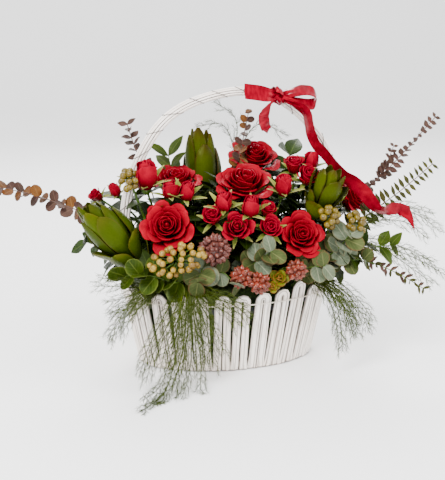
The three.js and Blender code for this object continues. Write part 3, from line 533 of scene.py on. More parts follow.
# Nearly black leaves of the inner twigs: partly painted shade between the flowers.
FILL_SHADE_LEAF = leaf_look("inner_shade_leaves", (0.003, 0.007, 0.0), (0.014, 0.025, 0.001),
                      (0.03, 0.055, 0.006), 0.45)
ROSETTE_LEAF = leaf_look("rosette_leaves", (0.04, 0.045, 0.001), (0.11, 0.115, 0.004),
                         (0.16, 0.16, 0.02), 0.45, edge=(0.14, 0.03, 0.006))
print("leaf materials:", sum("leaves" in made.name for made in bpy.data.materials))

# %% [markdown]
# ## Bracts, sepals and stems
# Bracts are leathery, with fine strands along them and bronze ends, and the pale sepals of the small roses
# are built the same way. Stems have strands only. All could share the leaf material, but they have no
# veins, so each gets a shorter chain of nodes of its own.

# %% Bract and stem materials
def bract_look(name, base, body, tip):
    look = Look(name, Specular_IOR_Level=0.1, Specular_Tint=(0.9, 1.0, 0.3))
    strands = look.noise(look.uv, 6.0, 3.0, (9.0, 0.7, 1.0))
    mottle = look.noise(look.space, 70.0, 4.0)
    colour = look.mix(look.rise(look.v, 0.05, 0.55), base, body)
    ends = look.math("ADD", look.rise(look.v, 0.72, 1.0, 0.85), look.rise(look.middle(), 0.42, 0.49))
    colour = look.mix(look.math("MULTIPLY", ends, look.rise(mottle, 0.2, 0.6)), colour, tip)
    colour = look.mix(look.math("MULTIPLY", look.rise(strands, 0.5, 0.8), 0.3), colour, base)
    look.set("Base Color", look.mix(look.math("MULTIPLY", look.tint, 0.55), colour, base))
    look.set("Roughness", look.rise(mottle, 0.1, 0.9, 0.62))
    look.bump(strands, 0.4, 0.5)
    return look.material


def stem_look(name, dark, light):
    look = Look(name, Specular_IOR_Level=0.2)
    strands = look.noise(look.uv, 5.0, 3.0, (4.0, 5.0, 1.0))
    mottle = look.noise(look.space, 130.0, 3.0)
    body = look.mix(look.rise(strands, 0.35, 0.7), dark, light)
    look.set("Base Color", look.mix(look.math("MULTIPLY", look.rise(mottle, 0.4, 0.7), 0.4), body, dark))
    look.set("Roughness", look.rise(mottle, 0.1, 0.9, 0.8))
    look.bump(strands, 0.3, 0.5)
    return look.material


SEPAL = bract_look("pale_sepals", (0.035, 0.06, 0.004), (0.17, 0.2, 0.035), (0.36, 0.3, 0.11))
STEM = stem_look("green_stems", (0.02, 0.045, 0.004), (0.075, 0.13, 0.012))
WOODY = stem_look("woody_stems", (0.04, 0.02, 0.015), (0.13, 0.065, 0.045))
BRACTS = {
    "centre": bract_look("bracts_bronze", (0.008, 0.016, 0.0), (0.046, 0.064, 0.0005),
                         (0.05, 0.022, 0.003)),
    "left": bract_look("bracts_lime", (0.008, 0.018, 0.0), (0.032, 0.05, 0.0005), (0.05, 0.045, 0.004)),
    "right": bract_look("bracts_green", (0.008, 0.016, 0.0), (0.044, 0.058, 0.0005), (0.03, 0.014, 0.002)),
}
NEEDLE = stem_look("fern_needles", (0.009, 0.018, 0.0), (0.078, 0.105, 0.002))
print("bract and stem materials:", len(BRACTS) + 4)


# %% [markdown]
# ## Berries and buds
# A berry has a thin waxy skin with specks and a dark eye, and a sedum bud has the same skin with a paler
# tip. Painting the eye on by its place in the part's space would work for one berry only, so it is laid
# at the end of the texture map, which every berry shares.

# %% Berry material
def berry_look(name, shade, body, tip):
    look = Look(name, Specular_IOR_Level=0.3, Coat_Weight=0.06, Coat_Roughness=0.2)
    speckle = look.noise(look.space, 520.0, 2.0)
    mottle = look.noise(look.space, 110.0, 3.0)
    colour = look.mix(look.rise(mottle, 0.35, 0.7), body, shade)
    colour = look.mix(look.math("MULTIPLY", look.rise(speckle, 0.58, 0.7), 0.35), colour, tip)
    colour = look.mix(look.math("MULTIPLY", look.tint, 0.45), colour, shade)
    look.set("Base Color", look.mix(look.rise(look.v, 0.9, 0.97), colour, tip))
    look.set("Roughness", look.rise(mottle, 0.0, 1.0, 0.6))
    look.bump(speckle, 0.12, 0.4)
    return look.material


CREAM_BERRY = berry_look("cream_berries", (0.11, 0.055, 0.006), (0.28, 0.18, 0.02), (0.06, 0.02, 0.004))
GOLD_BERRY = berry_look("golden_berries", (0.06, 0.036, 0.001), (0.155, 0.11, 0.006),
                        (0.045, 0.016, 0.002))
PINK_BUD = berry_look("sedum_pink", (0.045, 0.008, 0.006), (0.125, 0.035, 0.024), (0.18, 0.07, 0.045))
CORAL_BUD = berry_look("sedum_coral", (0.07, 0.009, 0.003), (0.18, 0.025, 0.012), (0.17, 0.075, 0.025))
print("berry materials:", CREAM_BERRY.name, GOLD_BERRY.name, PINK_BUD.name, CORAL_BUD.name)


# %% [markdown]
# ## Whitewashed wood, twine and wire
# The strips were brushed with thin white paint, which sits on the ridges, and the dark brown in the
# hollows is partly bare wood and partly painted shade. One way is to paint by how deep a point lies, but
# the map of a strip already tells where its hollows run. So the same cosine that cuts the ribs in the
# shape darkens them here, and finer strands lie between. The side edges of a strip are darkened as painted
# shade where it faces the next, and its feet are darker too.

# %% Wood material
RIBS, STRIP_CORNER = 3.2, 0.3


def strand_look(name, grain_and_shade, body, pale, across, ribs=None):
    """Wood or cane: fine strands along v, with blotches in the part's own space. Ribs darken the same
    lines that a strip's section makes hollow."""
    look = Look(name, Specular_IOR_Level=0.3)
    strands = look.noise(look.uv, 4.0, 5.0, (across, 1.3, 1.0))
    fibres = look.noise(look.uv, 4.0, 4.0, (across * 3, 5.0, 1.0))
    blotch = look.noise(look.space, 26.0, 4.0)
    colour = look.mix(look.rise(blotch, 0.35, 0.7), body, pale)
    colour = look.mix(look.math("MULTIPLY", look.tint, 0.3), colour, body)
    colour = look.mix(look.rise(strands, 0.52, 0.72, 0.5), colour, grain_and_shade)
    colour = look.mix(look.rise(fibres, 0.6, 0.75, 0.4), colour, grain_and_shade)
    if ribs:
        wave = look.math("COSINE", look.math("MULTIPLY", look.u, 2 * math.pi))
        aside = look.math("MULTIPLY", look.math("SIGN", wave),
                          look.math("POWER", look.math("ABSOLUTE", wave), STRIP_CORNER))
        rib = look.math("COSINE", look.math("ADD", look.math("MULTIPLY", aside, ribs * math.pi),
                                            look.math("MULTIPLY", look.tint, 6.0)))
        # Darker rib hollows: partly bare wood under the whitewash, partly painted shade.
        colour = look.mix(look.math("SUBTRACT", 0.75, look.rise(rib, -0.98, -0.66, 0.75)), colour, grain_and_shade)
        # Darker side edges: painted shade where a strip faces the next.
        colour = look.mix(look.rise(look.math("ABSOLUTE", aside), 0.9, 1.0, 0.6), colour, grain_and_shade)
        # Darker at both ends of the strip, at its feet.
        foot = look.math("ABSOLUTE", look.math("SUBTRACT", look.v, 0.5))
        colour = look.mix(look.rise(foot, 0.488, 0.5, 0.6), colour, grain_and_shade)
    look.set("Base Color", colour)
    look.set("Roughness", look.rise(fibres, 0.0, 0.8, 0.85))
    look.bump(look.math("SUBTRACT", blotch, look.math("ADD", strands, fibres)), 0.5, 0.7)
    return look.material


STRIP = strand_look("whitewashed_strips", (0.1, 0.065, 0.045), (0.88, 0.79, 0.71), (0.95, 0.89, 0.83),
                    9.0, ribs=RIBS)
CANE = strand_look("whitewashed_canes", (0.12, 0.085, 0.065), (0.84, 0.76, 0.69), (0.94, 0.88, 0.82), 5.0)
TWINE = strand_look("twine", (0.4, 0.33, 0.26), (0.68, 0.6, 0.5), (0.82, 0.76, 0.68), 3.0)
WIRE = strand_look("dark_wire", (0.01, 0.008, 0.007), (0.03, 0.022, 0.018), (0.06, 0.045, 0.035), 3.0)
# Near-black core of the handle: painted shade in the gaps between the canes.
CORE_SHADE = strand_look("cane_core_painted_shade", (0.02, 0.014, 0.01), (0.05, 0.035, 0.026), (0.09, 0.065, 0.05), 3.0)
print("wood materials:", STRIP.name, CANE.name, TWINE.name, WIRE.name, CORE_SHADE.name)


# %% [markdown]
# ## Satin
# Satin ribbon shines in soft bands along its folds and has a slightly darker woven edge. A cloth weave
# could be modelled thread by thread, but at this size only its gloss is seen, so noise that is stretched
# along the ribbon changes the roughness and paints light and dark bands into the colour, which are painted
# highlight and painted shade of the folds. The shine is tinted red as on real red satin.

# %% Satin material
def satin_look():
    look = Look("red_satin", Specular_IOR_Level=0.6, Specular_Tint=(1.0, 0.01, 0.04))
    weave = look.noise(look.uv, 30.0, 2.0, (1.0, 30.0, 1.0))
    folds_and_sheen = look.noise(look.uv, 3.0, 1.0, (0.6, 9.0, 1.0))
    # Light and dark bands along the ribbon: painted highlight and painted shade of the folds.
    colour = look.mix(look.rise(folds_and_sheen, 0.3, 0.75), (0.105, 0.0, 0.005), (0.19, 0.0, 0.01))
    hem = look.rise(look.middle(), 0.45, 0.48)
    look.set("Base Color", look.mix(look.math("MULTIPLY", hem, 0.5), colour, (0.06, 0.0, 0.002)))
    look.set("Roughness", look.math("ADD", look.rise(weave, 0.2, 0.9, 0.12), 0.2))
    look.bump(folds_and_sheen, 0.35, 0.5)
    return look.material


SATIN = satin_look()
print("satin material:", SATIN.name)


# %% [markdown]
# ## Moss, liner and base board
# Moss is a dark mat of tufts in patches. The liner is thin dark grey plastic with faint streaks, and the
# base is a plain board with long grain. None of them has a useful texture map, so their noise is laid in
# the part's own space, stretched along the grain for the board. Liner and board are the CAD's own solids.

# %% Moss, liner and board materials
def moss_look():
    look = Look("moss", Roughness=0.9, Specular_IOR_Level=0.2)
    tufts = look.noise(look.space, 300.0, 5.0)
    patches = look.noise(look.space, 40.0, 3.0)
    colour = look.mix(look.rise(tufts, 0.35, 0.7), (0.004, 0.009, 0.001), (0.022, 0.045, 0.004))
    look.set("Base Color", look.mix(look.rise(patches, 0.4, 0.7, 0.5), colour, (0.012, 0.014, 0.003)))
    look.bump(tufts, 2.5)
    return look.material


def liner_look():
    look = Look("liner_plastic", Specular_IOR_Level=0.5)
    grain = look.noise(look.space, 600.0, 2.0)
    streaks = look.noise(look.space, 12.0, 3.0)
    look.set("Base Color", look.mix(look.rise(streaks, 0.3, 0.7), (0.03, 0.033, 0.036),
                                    (0.06, 0.064, 0.067)))
    look.set("Roughness", look.rise(grain, 0.0, 1.0, 0.8))
    look.bump(grain, 0.08, 0.3)
    return look.material


def board_look():
    look = Look("base_board", Specular_IOR_Level=0.3)
    grain = look.noise(look.space, 40.0, 5.0, (0.6, 14.0, 6.0))
    pores = look.noise(look.space, 420.0, 3.0, (0.3, 2.0, 2.0))
    colour = look.mix(look.rise(grain, 0.35, 0.7), (0.46, 0.38, 0.31), (0.7, 0.63, 0.55))
    look.set("Base Color", look.mix(look.rise(pores, 0.58, 0.72, 0.5), colour, (0.3, 0.22, 0.16)))
    look.set("Roughness", look.rise(pores, 0.0, 0.9, 0.85))
    look.bump(look.math("SUBTRACT", grain, pores), 0.4, 0.6)
    return look.material


MOSS = moss_look()
for node, material in (("basket_liner", liner_look()), ("basket_base", board_look())):
    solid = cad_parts[node]
    solid.data.materials.clear()
    solid.data.materials.append(material)
print(len(bpy.data.materials), "materials")

# %% [markdown]
# ## The basket wall
# One long strip of thin whitewashed wood is folded up and down all round the basket, so each fold shows
# as a narrow arch with two legs side by side. The wall itself is an oval that leans outward. An array
# modifier could set copies of one arch round it, but would bend none of them to the oval. So the wall is a
# rule first, from the share of the way round and the height to a point, the same rule as the CAD's.

# %% Oval wall
BASE_HALF, RIM_HALF, RIM_Z = V(118, 70), V(141, 95), 110
OVAL_TURNS = np.linspace(0, 2 * math.pi, 721)


def oval_way(half):
    """Lengths along an oval at each of the turns."""
    places = np.stack([half[0] * np.cos(OVAL_TURNS), half[1] * np.sin(OVAL_TURNS)], axis=1)
    return np.concatenate([[0], np.cumsum(np.linalg.norm(np.diff(places, axis=0), axis=1))])


RIM_WAY = oval_way(RIM_HALF)
BASE_GIRTH, RIM_GIRTH = oval_way(BASE_HALF)[-1], RIM_WAY[-1]


def wall_point(way, z, out):
    """Point of the wall; way is the share of the way round from +X, out is outside its inner face."""
    angle = np.interp(way % 1, RIM_WAY / RIM_GIRTH, OVAL_TURNS)
    long = lerp(BASE_HALF[0], RIM_HALF[0], z / RIM_Z)
    short = lerp(BASE_HALF[1], RIM_HALF[1], z / RIM_Z)
    normal = unit(np.stack([np.cos(angle) / long, np.sin(angle) / short, 0 * angle], axis=1))
    middle = np.stack([long * np.cos(angle), short * np.sin(angle), z], axis=1)
    return middle + normal * np.broadcast_to(out, np.shape(way))[:, None]


print(f"the wall is {BASE_GIRTH:.0f} mm round at its foot and {RIM_GIRTH:.0f} mm at its rim")

# %% [markdown]
# ## The strips
# Each arch is swept as one roll: its section is a flat strip with worn corners and shallow ribs, and it
# runs up one leg, round the top and down the other. A bevelled curve could do that too, but not the waves
# and the splayed feet. Each arch has its own height, lean and wear, as hand work has.

# %% One arch
LOOPS, LOOP_START, TALL_LOOPS = 27, 0.15, {17: 3, 22: 4, 23: 9}
STRIP_WIDTH, STRIP_SLOT, STRIP_THICK = 10.2, 1.0, 3.2
STRIP_BACK, RIB_DEEP, EDGE_WAVE, BULGE = 0.45, 0.24, 0.25, 0.35
FOOT_EAR, FOOT_Z, FOOT_WEAR = 1.6, 14, 2.0
STRIP_FACES = (36, 60)


def strip_loop(number, top, lean, out, random, tint):
    """One strip bent over into a narrow arch and laid on the wall."""
    outer = STRIP_WIDTH + STRIP_SLOT / 2
    arch = math.pi * (outer + STRIP_SLOT) / 2
    length = 2 * top + arch
    worn = [6 * random() for _ in range(3)]

    def surface(u, v):
        turn = 2 * math.pi * u
        aside = np.sign(np.cos(turn)) * np.abs(np.cos(turn)) ** STRIP_CORNER
        deep = 0.5 + 0.5 * np.sign(np.sin(turn)) * np.abs(np.sin(turn)) ** STRIP_BACK
        deep = deep + RIB_DEEP * np.cos(RIBS * math.pi * aside + 6 * tint) * (deep > 0.6)
        across = (aside + 1) / 2
        run = v * length
        height = np.clip(np.where(run < length / 2, run, length - run), 0, top)
        slot = lerp(STRIP_SLOT / 2, STRIP_SLOT, np.clip((height - FOOT_Z) / (top - FOOT_Z), 0, 1))
        ear = FOOT_EAR * np.clip(1 - height / FOOT_Z, 0, 1)
        reach = lerp(slot, outer + ear, across)
        reach = reach + EDGE_WAVE * np.sin(v * 23 + worn[0]) * (across - 0.5)
        bend = np.clip((run - top) / arch, 0, 1) * math.pi
        x = -reach * np.cos(bend)
        z = height + reach * np.sin(bend)
        z = np.where(height < 0.5, z + np.abs(FOOT_WEAR * np.sin(4 * x / outer + worn[1])), z)
        share = z / RIM_Z
        way = (number + LOOP_START) / LOOPS + (x + lean * share) / lerp(
            BASE_GIRTH, RIM_GIRTH, np.minimum(share, 1))
        bulge = BULGE * np.sin(v * 15 + worn[2])
        return wall_point(way, z, deep * STRIP_THICK + out * share + bulge * share)

    return rolled(surface, *STRIP_FACES)


# %% All the arches
TOP_DIFFERS, LEAN_DIFFERS, OUT_DIFFERS = 5, 3, 0.8
strips = Bunch()
random = seeded(11)
wear = seeded(12)
for number in range(LOOPS):
    top = RIM_Z - STRIP_WIDTH + TOP_DIFFERS * (random() - 0.5) + TALL_LOOPS.get(number, 0)
    lean = LEAN_DIFFERS * (random() - 0.5)
    out = OUT_DIFFERS * random()
    tint = wear()
    strips.add(strip_loop(number, top, lean, out, wear, tint), tint=tint)
strips.piece("basket_strips", [STRIP], "white_strip", "basket_stakes")

# %% [markdown]
# ## Twine round the wall
# A thin pale twine holds the strips together just under the arches. It is two plies twisted round each
# other. A smooth cord with a bump of slanting lines would do from afar, but its outline would stay smooth,
# so two thin rolls are run round the oval as a double helix.

# %% Twine
TWINE_Z, TWINE_OUT, PLY_RADIUS, PLY_APART, PLY_TURNS = 97, 6.0, 0.55, 0.42, 150
TWINE_GAP, TWINE_FACES = 0.0004, (6, 900)
twine = Bunch()
for ply in (0, 1):

    def plied(u, v):
        twist = 2 * math.pi * (v * PLY_TURNS + ply / 2)
        around = 2 * math.pi * u
        out = TWINE_OUT + PLY_APART * np.cos(twist) + PLY_RADIUS * np.cos(around)
        z = TWINE_Z + PLY_APART * np.sin(twist) + PLY_RADIUS * np.sin(around)
        return wall_point(np.clip(v, TWINE_GAP, 1 - TWINE_GAP), z, out)

    twine.add(rolled(plied, *TWINE_FACES), tint=0.3 * ply)
twine.piece("rim_twine_plies", [TWINE], "twine", "rim_twine")

# %% [markdown]
# ## Handle
# The tall handle is a bundle of thin whitewashed canes, bound every few centimetres by a dark wire that
# crosses it slantwise. One thick bar with drawn lines would be simpler, but the bundle's outline and the
# dark gaps between its canes would be missing. So nine wavy canes run round a dark core along the CAD's
# centre line, and each binding is a thin closed ring. The core's near-black colour is painted shade in the
# gaps between the canes.

# %% The handle's line
HANDLE_PATH = [
    (-114, 18), (-133, 105), (-139, 170), (-135, 225), (-118, 276), (-94, 315), (-72, 335), (-45, 349),
    (-4, 360), (26, 362), (60, 357), (97, 334), (124, 307), (139, 285), (153, 245), (158, 200),
    (150, 155), (133, 105), (114, 18),
]
BUNDLE_ACROSS, BUNDLE_DEEP, BUNDLE_SWELL = 5.8, 6.1, 0.22
handle_line = Path([V(x, 0, z) for x, z in HANDLE_PATH])


def handle_frame(share):
    """Place on the handle's centre line, the direction across it (+Y) and the one out of its arch."""
    middle, tangent = handle_line.at(share), handle_line.tangent(share)
    across = np.broadcast_to(V(0, 1, 0), tangent.shape)
    return middle, across, np.cross(across, tangent)


def looseness(share):
    """The bundle is a little thicker down its left side."""
    return 1 + BUNDLE_SWELL * np.sin(2 * math.pi * np.minimum(share, 0.5))


print(f"the handle's line is {handle_line.length:.0f} mm long")

# %% Canes
CANES, CANE_RADIUS, CANE_INSET, CANE_WANDER, CANE_KNOTS = 9, 1.28, 1.4, 0.35, 0.05
CANE_ENDS, CANE_FACES = 0.001, (10, 170)
handle = Bunch()
random = seeded(301)
for cane in range(CANES):
    angle = (cane + 0.5) / CANES * 2 * math.pi
    spot = V(math.cos(angle) * (BUNDLE_ACROSS - CANE_INSET), math.sin(angle) * (BUNDLE_DEEP - CANE_INSET))
    phase = 6 * random()

    def cane_surface(u, v):
        middle, across, up = handle_frame(CANE_ENDS + (1 - 2 * CANE_ENDS) * v)
        wander = CANE_WANDER * np.sin(v * 60 + phase)
        turn = 2 * math.pi * u
        loose = looseness(v)
        size = CANE_RADIUS * loose * (1 + CANE_KNOTS * np.sin(v * 90 + 2 * phase))
        a = spot[0] * loose + wander * 0.6 + size * np.cos(turn)
        b = spot[1] * loose + wander * 0.4 + size * np.sin(turn)
        return middle + across * a[:, None] + up * b[:, None]

    handle.add(rolled(cane_surface, *CANE_FACES), tint=random())

# %% Bindings and core
BINDING_STEP, BINDING_SLANT, WIRE_RADIUS, WIRE_LIFT, CORE_MORE = 34, 10, 0.42, 0.1, 0.6
for i in range(1, int(handle_line.length / BINDING_STEP)):
    centre = (i * BINDING_STEP + 5 * (random() - 0.5)) / handle_line.length
    slant = BINDING_SLANT * (0.7 + 0.6 * random())
    ring = []
    for step in range(17):
        turn = step / 16 * 2 * math.pi
        way = centre + slant * math.sin(turn) / handle_line.length
        middle, across, up = handle_frame(np.array([way]))
        loose = float(looseness(way))
        ring.append(middle[0] + across[0] * (BUNDLE_ACROSS * loose + WIRE_LIFT) * math.cos(turn)
                    + up[0] * (BUNDLE_DEEP * loose + WIRE_LIFT) * math.sin(turn))
    handle.add(tube(Path(ring), WIRE_RADIUS, 5, 32), look=1)
core = BUNDLE_DEEP - 2 * CANE_INSET + CORE_MORE
# The near-black core shows only in the gaps between the canes, as painted shade.
handle.add(tube(handle_line, lambda v, a: core * looseness(v), 8, 90), look=2)
handle.piece("handle_bundle", [CANE, WIRE, CORE_SHADE], "white_strip", "handle_canes")

# %% [markdown]
# ## Bow
# A red satin ribbon is tied round the handle: two loops, a short end, and a long tail that twists as it
# falls to the right. A cloth simulation could drop a strip into place, but would hardly find the turns of
# this one. So it is modelled as the flat bands it is, 20 mm wide, each running through a few points with
# its own side directions. All bands together are one sheet.

# %% The tail's way down
RIBBON_WIDTH = 20
KNOT = V(68, -14, 357)
TRUE_FRONT = facing(-15, 13)
TAIL = [(72, -18, 352), (90, -24, 344), (102, -28, 334), (105, -30, 320), (107, -34, 307),
        (113, -40, 292), (121, -50, 282), (130, -62, 268), (140, -72, 255), (151, -79, 247),
        (164, -87, 233), (174, -93, 219), (184, -98, 211), (197, -102, 214), (209, -105, 213),
        (219, -107, 203), (227, -108, 185)]
# How much of the tail's width shows from the front left at each of its points
TAIL_SHOWN = [0.6, 0.5, 0.45, 0.5, 0.55, 0.5, 0.55, 0.5, 0.62, 0.8, 0.85, 0.7, 0.4, 0.75, 0.7, 0.95, 0.99]


def tail_sides():
    line = Path(TAIL)
    sides = []
    for i, shown in enumerate(TAIL_SHOWN):
        at = i / (len(TAIL) - 1)
        tangent = unit(line.point(min(at + 0.004, 1)) - line.point(max(at - 0.004, 0)))
        across = unit(np.cross(tangent, TRUE_FRONT))
        sides.append(-shown * across + math.sqrt(1 - shown**2) * np.cross(across, tangent))
    return sides


print(f"the tail is {Path(TAIL).length:.0f} mm long")

# %% Loops and ends
UPRIGHT, SLANTED = (0, 0.15, 1), (0.1, 0.75, 0.6)
LEFT_LOOP = [KNOT, (52, -20.5, 358), (36, -19.5, 361), (21, -15, 363), (37, -10.5, 361),
             (52, -9.8, 359), KNOT]
RIGHT_LOOP = [KNOT, (86, -13, 360), (102, -15, 363), (115, -19, 360), (118, -22, 352),
              (112, -24, 345), (98, -22, 346), (84, -20, 349), KNOT]
SHORT_END = [KNOT, (57, -21, 350), (48, -25, 343), (44, -27, 332), (46, -26, 319), (50, -25, 308)]
RIBBON_BANDS = [
    (LEFT_LOOP, [(0, 0, 1)] + [UPRIGHT] * 5 + [(0, 0, 1)], 60, (1, 1)),
    (RIGHT_LOOP, [(0, 0.4, 1), SLANTED, SLANTED, SLANTED, (0.3, 0.8, 0.2), SLANTED, SLANTED, SLANTED,
                  (0, 0.4, 1)], 70, (1, 1)),
    (SHORT_END, [(0.6, 0, 0.8), (0.7, 0.3, 0.6), (0.8, 0.4, 0.4), (0.9, 0.5, 0.1), (0.8, 0.5, 0.1),
                 (0.6, 0.6, 0.1)], 40, (1, 0)),
    (TAIL, tail_sides(), 150, (1, 0)),
]
print(len(RIBBON_BANDS), "bands")

# %% [markdown]
# The knot gathers a band into pleats, which open out again within a few centimetres. A few sine waves on
# the band's own map make the pleats, and two slower ones the soft curl and ripple of satin. Free ends are
# cut on the slant.

# %% A band
RIBBON_HALF, RIBBON_ACROSS, END_SLANT = 0.25, 8, 0.25
PINCH_LENGTH, PINCH, PLEAT, CURL, RIPPLE = 14, 0.45, 4.5, 0.45, 0.25
ribbon = Bunch()
ribbon_length = 0.0


def band(points, sides, along, pinched):
    """A band through points; pinched says which of its ends the knot gathers, and the other is cut
    on the slant."""
    line, aside = Path(points), Path(sides, tension=0.3)
    pinch_share = PINCH_LENGTH / line.length
    slant = 0.0 if pinched[1] else END_SLANT

    def surface(u, v):
        near = np.minimum(np.where(pinched[0], v, 1), np.where(pinched[1], 1 - v, 1)) / pinch_share
        gather = 1 - PINCH * np.exp(-(np.maximum(near, 0) ** 2))
        way = v - slant * np.abs(u - 0.5) * np.clip(v - 0.9, 0, 1) * 10
        side = unit(aside.point(way))
        ahead = unit(line.point(way + 0.01) - line.point(way - 0.01))
        out = unit(np.cross(side, ahead))
        pleat = (1 - gather) * PLEAT * np.cos(u * 4 * math.pi)
        curl = CURL * np.cos(u * math.pi * 2) * np.sin(v * 11)
        ripple = RIPPLE * np.sin(v * 37 + u * 3)
        return (line.point(way) + side * ((u - 0.5) * RIBBON_WIDTH * gather)[:, None]
                + out * (pleat + curl + ripple)[:, None])

    return sheet(surface, RIBBON_ACROSS, along, RIBBON_HALF), line.length


for points, sides, along, pinched in RIBBON_BANDS:
    form, length = band(points, sides, along, pinched)
    ribbon.add(form)
    ribbon_length += length
print(f"loops and ends take {ribbon_length:.0f} mm of ribbon")

# %% Knot and collar
KNOT_DEEP, KNOT_HIGH, KNOT_WIDTH = 6.2, 9.2, 15
COLLAR_GAP, COLLAR_CREASE = 1.6, 0.3
KNOT_TURN_RADIUS, COLLAR_TURN_RADIUS = 7.8, 7.5
knot_share = float(np.interp(KNOT[0], handle_line.points[:, 0][100:220], handle_line.way[100:220]))
knot_spot, knot_across, knot_up = (rows[0] for rows in handle_frame(np.array([knot_share])))
knot_ahead = np.cross(knot_up, knot_across)


def knot_band(u, v):
    """The turn of ribbon that holds the loops together, gathered into a small cushion."""
    turn = 2 * math.pi * (0.04 + 0.92 * v)
    swell = 1 + 0.16 * np.cos(math.pi * (u - 0.5) * 2) + 0.07 * np.cos(u * 14 + 1.5 * np.sin(turn))
    x = (u - 0.5) * (KNOT_WIDTH - 3 * np.cos(turn))
    return (KNOT + np.outer(x, knot_ahead) + np.outer(KNOT_DEEP * swell * np.cos(turn), V(0, -1, 0))
            + np.outer(KNOT_HIGH * swell * np.sin(turn), V(0, 0.1, 1)))


def collar_band(u, v):
    """The turn of ribbon round the handle."""
    turn = 2 * math.pi * (0.01 + 0.98 * v)
    gap = COLLAR_GAP + COLLAR_CREASE * np.cos(u * 12)
    return (knot_spot + np.outer((u - 0.5) * RIBBON_WIDTH, knot_ahead)
            + np.outer((BUNDLE_ACROSS + gap) * np.cos(turn), -knot_across)
            + np.outer((BUNDLE_DEEP + gap) * np.sin(turn), knot_up))


ribbon.add(sheet(knot_band, 12, 40, RIBBON_HALF))
ribbon.add(sheet(collar_band, 6, 32, RIBBON_HALF))
ribbon_length += 2 * math.pi * (KNOT_TURN_RADIUS + COLLAR_TURN_RADIUS)
ribbon_piece = ribbon.piece("ribbon_bow", [SATIN], "red_satin", "ribbon")

# %% [markdown]
# ## Roses
# A rose is a spiral of petals. The inner ones stand nearly closed round the heart, and each next one
# starts about a golden angle on, opens further and rolls its lip outward. One swirled surface could stand
# for them all, but the gaps and shadows between the lips are what makes it a rose. So every petal is its
# own thin sheet, bent from a profile that goes from shut to open, with a nick and a wave of its own.

# %% One petal
PROFILE_SHUT = [(0.04, -0.45), (0.10, -0.28), (0.12, 0.08), (0.13, 0.38), (0.15, 0.52)]
PROFILE_OPEN = [(0.14, -0.45), (0.46, -0.30), (0.70, -0.02), (0.87, 0.16), (0.98, 0.20)]
LIP_START, LIP_OUT, LIP_DOWN, CURL_START = 0.72, 0.16, 0.17, 0.28
PETAL_HALF, SMALL_PETAL_HALF = 0.3, 0.22


def between(shut, opened, share):
    """The line of a profile that is part of the way from one list of points to the other."""
    return Path([V(lerp(a, c, share), 0, lerp(b, d, share)) for (a, b), (c, d) in zip(shut, opened)])


def petal(radius, open_share, turn, random, across, along, half):
    """Petal of a rose that looks along +Z: open_share is 0 at the heart and 1 outermost."""
    line = between(PROFILE_SHUT, PROFILE_OPEN, open_share)
    span = lerp(1.5, 0.66, min(open_share * 1.6, 1))
    curl = max(open_share - CURL_START, 0) * lerp(0.6, 1.3, random())
    wave, phase, nip = 0.05 * random(), 6 * random(), 0.06 * random()
    tip = random() - 0.5

    def surface(u, v):
        aside = 2 * u - 1
        way = v * (1 - 0.16 * aside**4 - 0.05 * aside**2 - nip * np.exp(-((aside - tip) * 5) ** 2))
        edge = line.at(way)
        broad = 0.5 + 0.5 * np.sin(math.pi * np.minimum(v * 0.9 + 0.02, 0.72))
        angle = turn + aside * span * broad
        lip = np.clip((way - LIP_START) / (1 - LIP_START), 0, 1) ** 2 * curl
        ripple = wave * v**3 * np.sin(3 * math.pi * u + phase)
        reach = edge[:, 0] + (0.01 + 0.1 * tip) * aside + LIP_OUT * lip + ripple * 0.6 * open_share
        rise = edge[:, 2] - LIP_DOWN * lip + ripple * 0.6
        return radius * np.stack([reach * np.cos(angle), reach * np.sin(angle), rise], axis=1)

    return sheet(surface, across, along, half)


# %% A bloom
HEART = [(0, -0.5), (0.16, -0.4), (0.12, 0.0), (0.08, 0.36), (0.0, 0.42)]
TURN_DIFFERS = 0.7


def bloom(bunch, place, radius, petals, open_most, random, detail):
    """A spiral of petals from the heart outward."""
    start = 6 * random()
    for i in range(petals):
        open_share = open_most * (i / (petals - 1)) ** 1.1
        turn = start + i * GOLDEN + TURN_DIFFERS * (random() - 0.5)
        half = PETAL_HALF if radius > 25 else SMALL_PETAL_HALF
        form = petal(radius, open_share, turn, random, *detail, half)
        # The tint rises towards the inner petals: painted shade deep in the bloom.
        bunch.add(form, place, tint=lerp(0.55, 0.0, i / petals) + 0.35 * random())
    # The heart gets the darkest tint: painted shade in the middle of the bloom.
    bunch.add(lathe(HEART, radius, 8, 8), place, tint=1.0)


# %% [markdown]
# ## Leaves, sepals and stems
# Leaves of every kind, and the sepals under a flower, are blades with a fold along the middle, a curl
# along the length and some wave in the edge. A flat card with a picture of a leaf is common in games, but
# its outline is rough near by. Here each blade is a thin closed plate, so it has an edge and an underside.

# %% A blade
LEAF_HALF, TOOTH = 0.28, 0.07


def leaf(length, width, disc=False, curl=0.12, fold=0.12, wave=0.0, across=4, along=6, half=LEAF_HALF,
         teeth=0):
    """Blade along +Y with its face to +Z; a disc is round, others are pointed. Teeth cut its edge."""
    along = 2 * teeth if teeth else along

    def surface(u, v):
        v = 0.02 + 0.955 * v
        way = (1 - np.cos(math.pi * np.clip(v, 0, 1))) / 2 if disc else v
        broad = (width / 2) * np.sin(math.pi * np.clip(v, 0.005, 0.995) ** (1.0 if disc else 0.85))
        broad = broad * (1 + (TOOTH * np.cos(2 * math.pi * teeth * v) if teeth else 0))
        x = (2 * u - 1) * np.maximum(broad, 0.5)
        lift = fold * np.abs(x) - curl * length * way**2 + wave * np.sin(9 * way) * np.abs(2 * u - 1) ** 2
        return np.stack([x, way * length, lift], axis=1)

    return sheet(surface, across, along, half)


print("a leaf has", len(leaf(30, 15).sizes), "faces")

